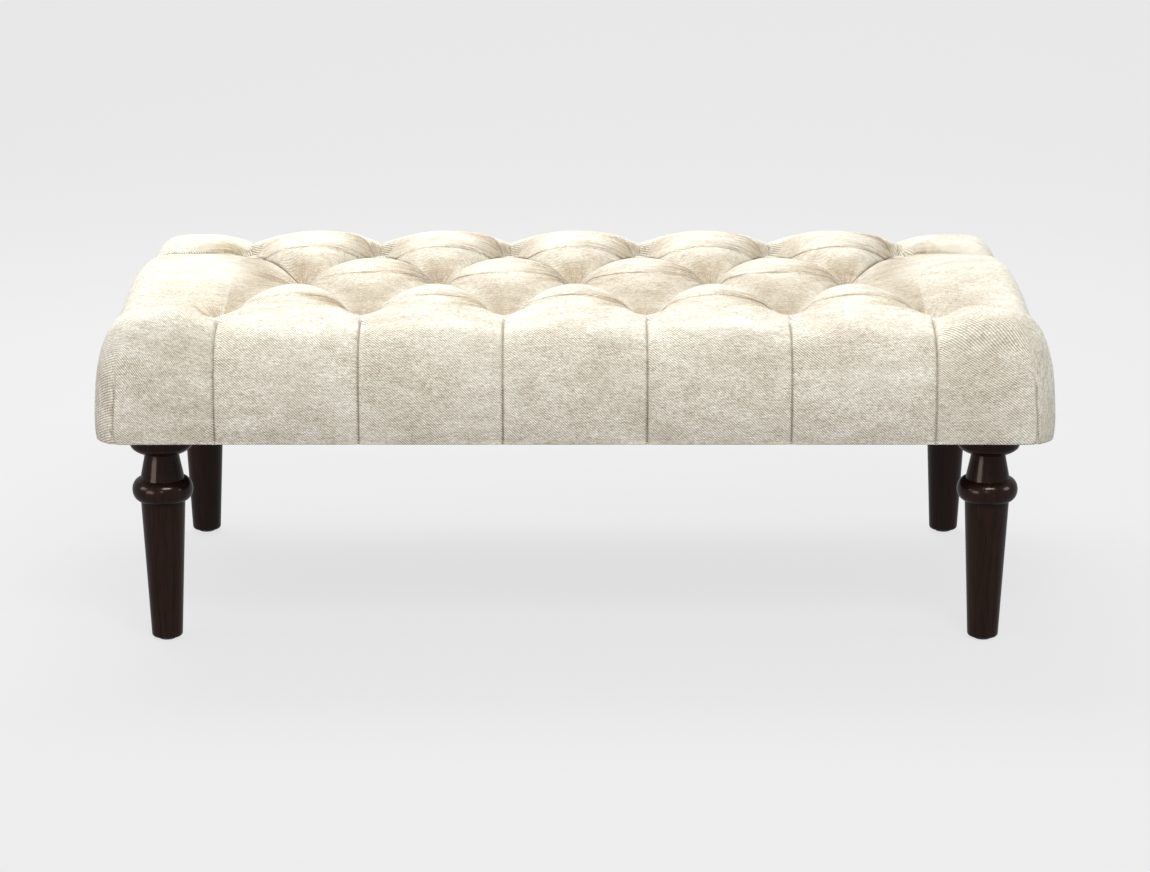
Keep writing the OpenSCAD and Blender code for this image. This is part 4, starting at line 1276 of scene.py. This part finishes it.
# %% Turned legs
graph, tree_in, tree_out, lathe_ids = geometry_tree("lathe", [
    ("NodeSocketObject", "Outline"), ("NodeSocketInt", "Rings"), ("NodeSocketInt", "Segments"),
    ("NodeSocketVector", "Place"), ("NodeSocketMaterial", "Finish"),
])
rings, segments = tree_in.outputs["Rings"], tree_in.outputs["Segments"]
columns = graph.math("ADD", segments, 1)
grid = graph.add("GeometryNodeMeshGrid", {
    "Size X": 1.0, "Size Y": 1.0, "Vertices X": columns, "Vertices Y": rings,
})
index = graph.add("GeometryNodeInputIndex").outputs[0]
ring = graph.math("FLOORED_MODULO", index, rings)
column = graph.math("FLOOR", graph.math("DIVIDE", index, rings))
source = graph.add("GeometryNodeObjectInfo", {"Object": tree_in.outputs["Outline"]})
position = graph.add("GeometryNodeInputPosition").outputs[0]
sample_inputs = {"Geometry": source.outputs["Geometry"], "Value": position, "Index": ring}
sample = graph.add("GeometryNodeSampleIndex", sample_inputs, data_type="FLOAT_VECTOR")
radius, _, rise = graph.split(sample.outputs["Value"])
turn = graph.times(graph.math("DIVIDE", column, segments), math.tau)
x = graph.times(radius, graph.math("COSINE", turn))
y = graph.times(radius, graph.math("SINE", turn))
placed = graph.vector("ADD", graph.join(x, y, rise), tree_in.outputs["Place"])
bent = graph.add("GeometryNodeSetPosition", {"Geometry": grid.outputs["Mesh"], "Position": placed})
end_tree(graph, bent.outputs[0], tree_in.outputs["Finish"], tree_out)

for corner in ("front_left", "front_right", "back_left", "back_right"):
    low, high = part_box("leg_" + corner)
    name = "turned_leg_" + corner
    leg = shown(name, bpy.data.meshes.new(name))
    run_tree(leg, graph.tree, lathe_ids, {
        "Outline": outline_object, "Rings": len(outline), "Segments": 96,
        "Place": ((low.x + high.x) / 2, (low.y + high.y) / 2, low.z), "Finish": espresso,
    })
    close_up(leg, MERGE_GAP)
    leg.data.shade_smooth()
    leg.data.set_sharp_from_angle(angle=math.radians(32))
    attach(leg, "root")
    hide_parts("leg_" + corner)
print("leg faces:", len(leg.data.polygons))

# %% [markdown]
# ## Covered buttons
# A covered button is a domed steel shell with the same cloth drawn over it. One cap is modelled
# in rings, inside first and then outside, and a tree sets it down at every tuft with a small
# turn of its own, because no two buttons are pulled in at the same angle.

# %% Covered buttons
low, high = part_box("button_caps")
CAP_R, CAP_WALL, CAP_TURNS = 11.0, 1.2, 40
cap_h = (high.z - low.z) * 1000


def dome(r, h, angles):
    return [(r * math.cos(t), h * math.sin(t)) for t in np.radians(angles)]


cap_rings = dome(CAP_R - CAP_WALL, cap_h - CAP_WALL, np.linspace(90, 0, 9))
cap_rings += dome(CAP_R, cap_h, np.linspace(0, 90, 14))
turns = [math.tau * k / CAP_TURNS for k in range(CAP_TURNS)]
cap_points = [(r * math.cos(turn), r * math.sin(turn), z) for r, z in cap_rings for turn in turns]
cap_faces = []
for i in range(len(cap_rings) - 1):
    for k in range(CAP_TURNS):
        a, b = i * CAP_TURNS + k, i * CAP_TURNS + (k + 1) % CAP_TURNS
        cap_faces.append([a, b, b + CAP_TURNS, a + CAP_TURNS])
cap_mesh = bpy.data.meshes.new("button_cap")
cap_mesh.from_pydata([(x / 1000, y / 1000, z / 1000) for x, y, z in cap_points], [], cap_faces)
cap_uv = cap_mesh.uv_layers.new(name="cloth")
loop_points = np.array([cap_points[l.vertex_index][:2] for l in cap_mesh.loops]) / 1000
cap_uv.data.foreach_set("uv", loop_points.ravel())
cap_object = bpy.data.objects.new("button_cap", cap_mesh)

graph, tree_in, tree_out, button_ids = geometry_tree("buttons", [
    ("NodeSocketObject", "Cap"), ("NodeSocketFloat", "Turn"), ("NodeSocketMaterial", "Finish"),
])
spots = graph.add("GeometryNodeMeshToPoints", {"Mesh": tree_in.outputs["Geometry"]})
cap = graph.add("GeometryNodeObjectInfo", {"Object": tree_in.outputs["Cap"]})
twist = graph.add("FunctionNodeRandomValue", {"Seed": 4, 2: -1.0}, data_type="FLOAT").outputs[1]
set_down = graph.add("GeometryNodeInstanceOnPoints", {
    "Points": spots.outputs[0], "Instance": cap.outputs["Geometry"],
    "Rotation": graph.join(z=graph.times(twist, tree_in.outputs["Turn"])),
})
end_tree(graph, set_down.outputs[0], tree_in.outputs["Finish"], tree_out)

buttons_mesh = bpy.data.meshes.new("covered_buttons")
cap_z = low.z * 1000
buttons_mesh.from_pydata([(x / 1000, y / 1000, cap_z / 1000) for x, y in TUFTS], [], [])
buttons = shown("covered_buttons", buttons_mesh)
run_tree(buttons, graph.tree, button_ids, {"Cap": cap_object, "Turn": 0.4, "Finish": cloth})
close_up(buttons, MERGE_GAP)
buttons.data.shade_smooth()
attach(buttons, "root")
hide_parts("button_caps")
print("button faces:", len(buttons.data.polygons))

# %% [markdown]
# ## Black cloth under the seat
# The cloth that hides the frame is cut with its corners off and stapled flat. Between the
# staples it sags a little under its own weight. Only its underside shows, so the sag is drawn
# with a rule rather than simulated. Two skins and a rim give the sheet its thickness.

# %% Black cloth
low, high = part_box("dust_cover")
cloth_x, cloth_y, cloth_t = high.x, high.y, high.z - low.z
CORNER_CUT, SAG, RIPPLE = 0.060, 0.0035, 0.0004
COLS, ROWS = 120, 66


def sheet_point(i, j, skin_z):
    x = (2 * i / COLS - 1) * cloth_x
    y = (2 * j / ROWS - 1) * cloth_y
    limit = cloth_x - max(0.0, abs(y) - (cloth_y - CORNER_CUT))
    x = max(-limit, min(limit, x))
    middle = math.cos(math.pi / 2 * x / cloth_x) * math.cos(math.pi / 2 * y / cloth_y)
    ripple = RIPPLE * math.sin(41 * x + 2.3 * math.sin(9 * y)) * middle**0.5
    return (x, y, low.z + skin_z - SAG * middle + ripple)


sheet_points = [
    sheet_point(i, j, skin_z)
    for skin_z in (0.0, cloth_t * 0.8) for j in range(ROWS + 1) for i in range(COLS + 1)
]
count = (COLS + 1) * (ROWS + 1)
sheet_faces = []
for j in range(ROWS):
    for i in range(COLS):
        a = j * (COLS + 1) + i
        quad = (a, a + 1, a + COLS + 2, a + COLS + 1)
        sheet_faces.append(quad[::-1])
        sheet_faces.append(tuple(p + count for p in quad))
border = list(range(COLS)) + [COLS + j * (COLS + 1) for j in range(ROWS)]
border += [ROWS * (COLS + 1) + COLS - i for i in range(COLS)]
border += [(ROWS - j) * (COLS + 1) for j in range(ROWS)]
for a, b in zip(border, border[1:] + border[:1]):
    sheet_faces.append((a, b, b + count, a + count))

sheet_mesh = bpy.data.meshes.new("underside_cloth")
sheet_mesh.from_pydata(sheet_points, [], sheet_faces)
sheet_mesh.materials.append(dust_cloth)
underside = shown("underside_cloth", sheet_mesh)
close_up(underside, 0.000005)
underside.data.shade_smooth()
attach(underside, "root")
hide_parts("dust_cover")

# %% [markdown]
# ## Finishes of the kept CAD pieces
# The frame, the deck and the metal parts keep their CAD shape. Each takes the finish of its
# slot, and the short rails take pine whose grain runs front to back.

# %% Finishes of the kept pieces
side_grain = {"left_rail", "right_rail", "left_cross_rail", "right_cross_rail"}
finished = 0
for part in frame["record"]["subparts"]:
    obj = bpy.data.objects.get(part["node"])
    if obj is None or obj.hide_render:
        continue
    finish = pine_side if part["node"] in side_grain else finishes[part["material_slot"]]
    for slot in obj.material_slots:
        slot.material = finish
        finished += 1
print("kept pieces with a finish:", finished)

# %% [markdown]
# ## Floor
# The stool stands on a pale seamless sweep: a flat floor that curves up into a wall. Most of
# its brightness is its own, so the shadow on it stays as faint as in a bright studio. It is
# left out of reflections and of bounced light, or its glow would wash out the stool's shadows.

# %% Floor
SWEEP_HALF_W, SWEEP_FRONT, SWEEP_BEND, SWEEP_R, SWEEP_TOP = 9.0, -7.0, 3.0, 2.5, 7.0
profile = [(SWEEP_FRONT, 0.0), (SWEEP_BEND, 0.0)]
for t in np.radians(np.linspace(6, 90, 15)):
    profile.append((SWEEP_BEND + SWEEP_R * math.sin(t), SWEEP_R - SWEEP_R * math.cos(t)))
profile.append((SWEEP_BEND + SWEEP_R, SWEEP_TOP))
sweep_mesh = bpy.data.meshes.new("sweep")
sweep_points = [(x, y, z) for y, z in profile for x in (-SWEEP_HALF_W, SWEEP_HALF_W)]
sweep_faces = [(2 * i, 2 * i + 1, 2 * i + 3, 2 * i + 2) for i in range(len(profile) - 1)]
sweep_mesh.from_pydata(sweep_points, [], sweep_faces)
sweep_mesh.shade_smooth()
sweep = shown("sweep", sweep_mesh)
sweep.visible_glossy = False
sweep.visible_diffuse = False

paper = bpy.data.materials.new("paper_sweep")
paper.use_nodes = True
graph = Graph(paper.node_tree)
paper.node_tree.nodes.clear()
grit = graph.noise(object_place(graph), 40.0, 3.0)
tint = graph.mix(grit, rgb(0.082, 0.082, 0.082), rgb(0.086, 0.086, 0.086))
lit = graph.add("ShaderNodeBsdfDiffuse", {"Color": tint})
depth = graph.split(object_place(graph))[1]
glow = graph.math("MULTIPLY_ADD", graph.ramp(depth, -1.0, 3.0), 0.045, 0.708)
own = graph.add("ShaderNodeEmission", {"Color": rgb(1.0, 1.0, 1.0), "Strength": glow})
both = graph.add("ShaderNodeAddShader", {0: lit.outputs[0], 1: own.outputs[0]})
graph.add("ShaderNodeOutputMaterial", {"Surface": both.outputs[0]})
sweep_mesh.materials.append(paper)
print("sweep faces:", len(sweep_mesh.polygons))

# %% [markdown]
# ## Light
# A big soft box hangs above, a little behind the stool, and another high in front. They light
# the crests from both sides. Weaker ones stand at the front left, in front and at each end, and
# the sky fills the shadows with a cool white. The camera doesn't see the boxes themselves.

# %% Light
COOL, PALE_GREEN, WARM = (0.98, 1.0, 0.985), (0.985, 1.0, 0.98), (1.0, 0.965, 0.94)
world = bpy.data.worlds.new("studio")
world.use_nodes = True
bpy.context.scene.world = world
world.node_tree.nodes["Background"].inputs["Color"].default_value = rgb(0.97, 0.98, 1.0)
world.node_tree.nodes["Background"].inputs["Strength"].default_value = 0.37


def soft_box(name, place, aim, size, power, tint=(1.0, 1.0, 1.0)):
    data = bpy.data.lights.new(name, "AREA")
    data.shape = "RECTANGLE"
    data.size, data.size_y = size
    data.energy = power
    data.color = tint
    box = shown(name, data)
    box.location = place
    way = np.array(aim, float) - np.array(place, float)
    flat = math.hypot(way[0], way[1])
    box.rotation_euler = (math.atan2(flat, -way[2]), 0.0, math.atan2(-way[0], way[1]))
    box.visible_camera = False


soft_box("top_light", (-0.5, 1.2, 2.45), (0.0, 0.0, 0.4), (2.4, 1.2), 90.0, COOL)
soft_box("high_front_light", (0.7, -2.6, 3.0), (0.0, 0.0, 0.4), (1.8, 0.9), 93.0, PALE_GREEN)
soft_box("left_light", (-3.6, -3.5, 0.95), (-0.5, -0.2, 0.3), (2.2, 1.6), 51.0, WARM)
soft_box("front_light", (-0.3, -5.2, 1.9), (0.0, 0.0, 0.3), (0.4, 1.0), 10.0, WARM)
for end in (-1, 1):
    soft_box("end_light", (3.3 * end, -0.8, 1.5), (0.5 * end, 0.0, 0.35), (1.2, 1.0), 20.0)

bpy.context.scene.view_settings.view_transform = "Standard"
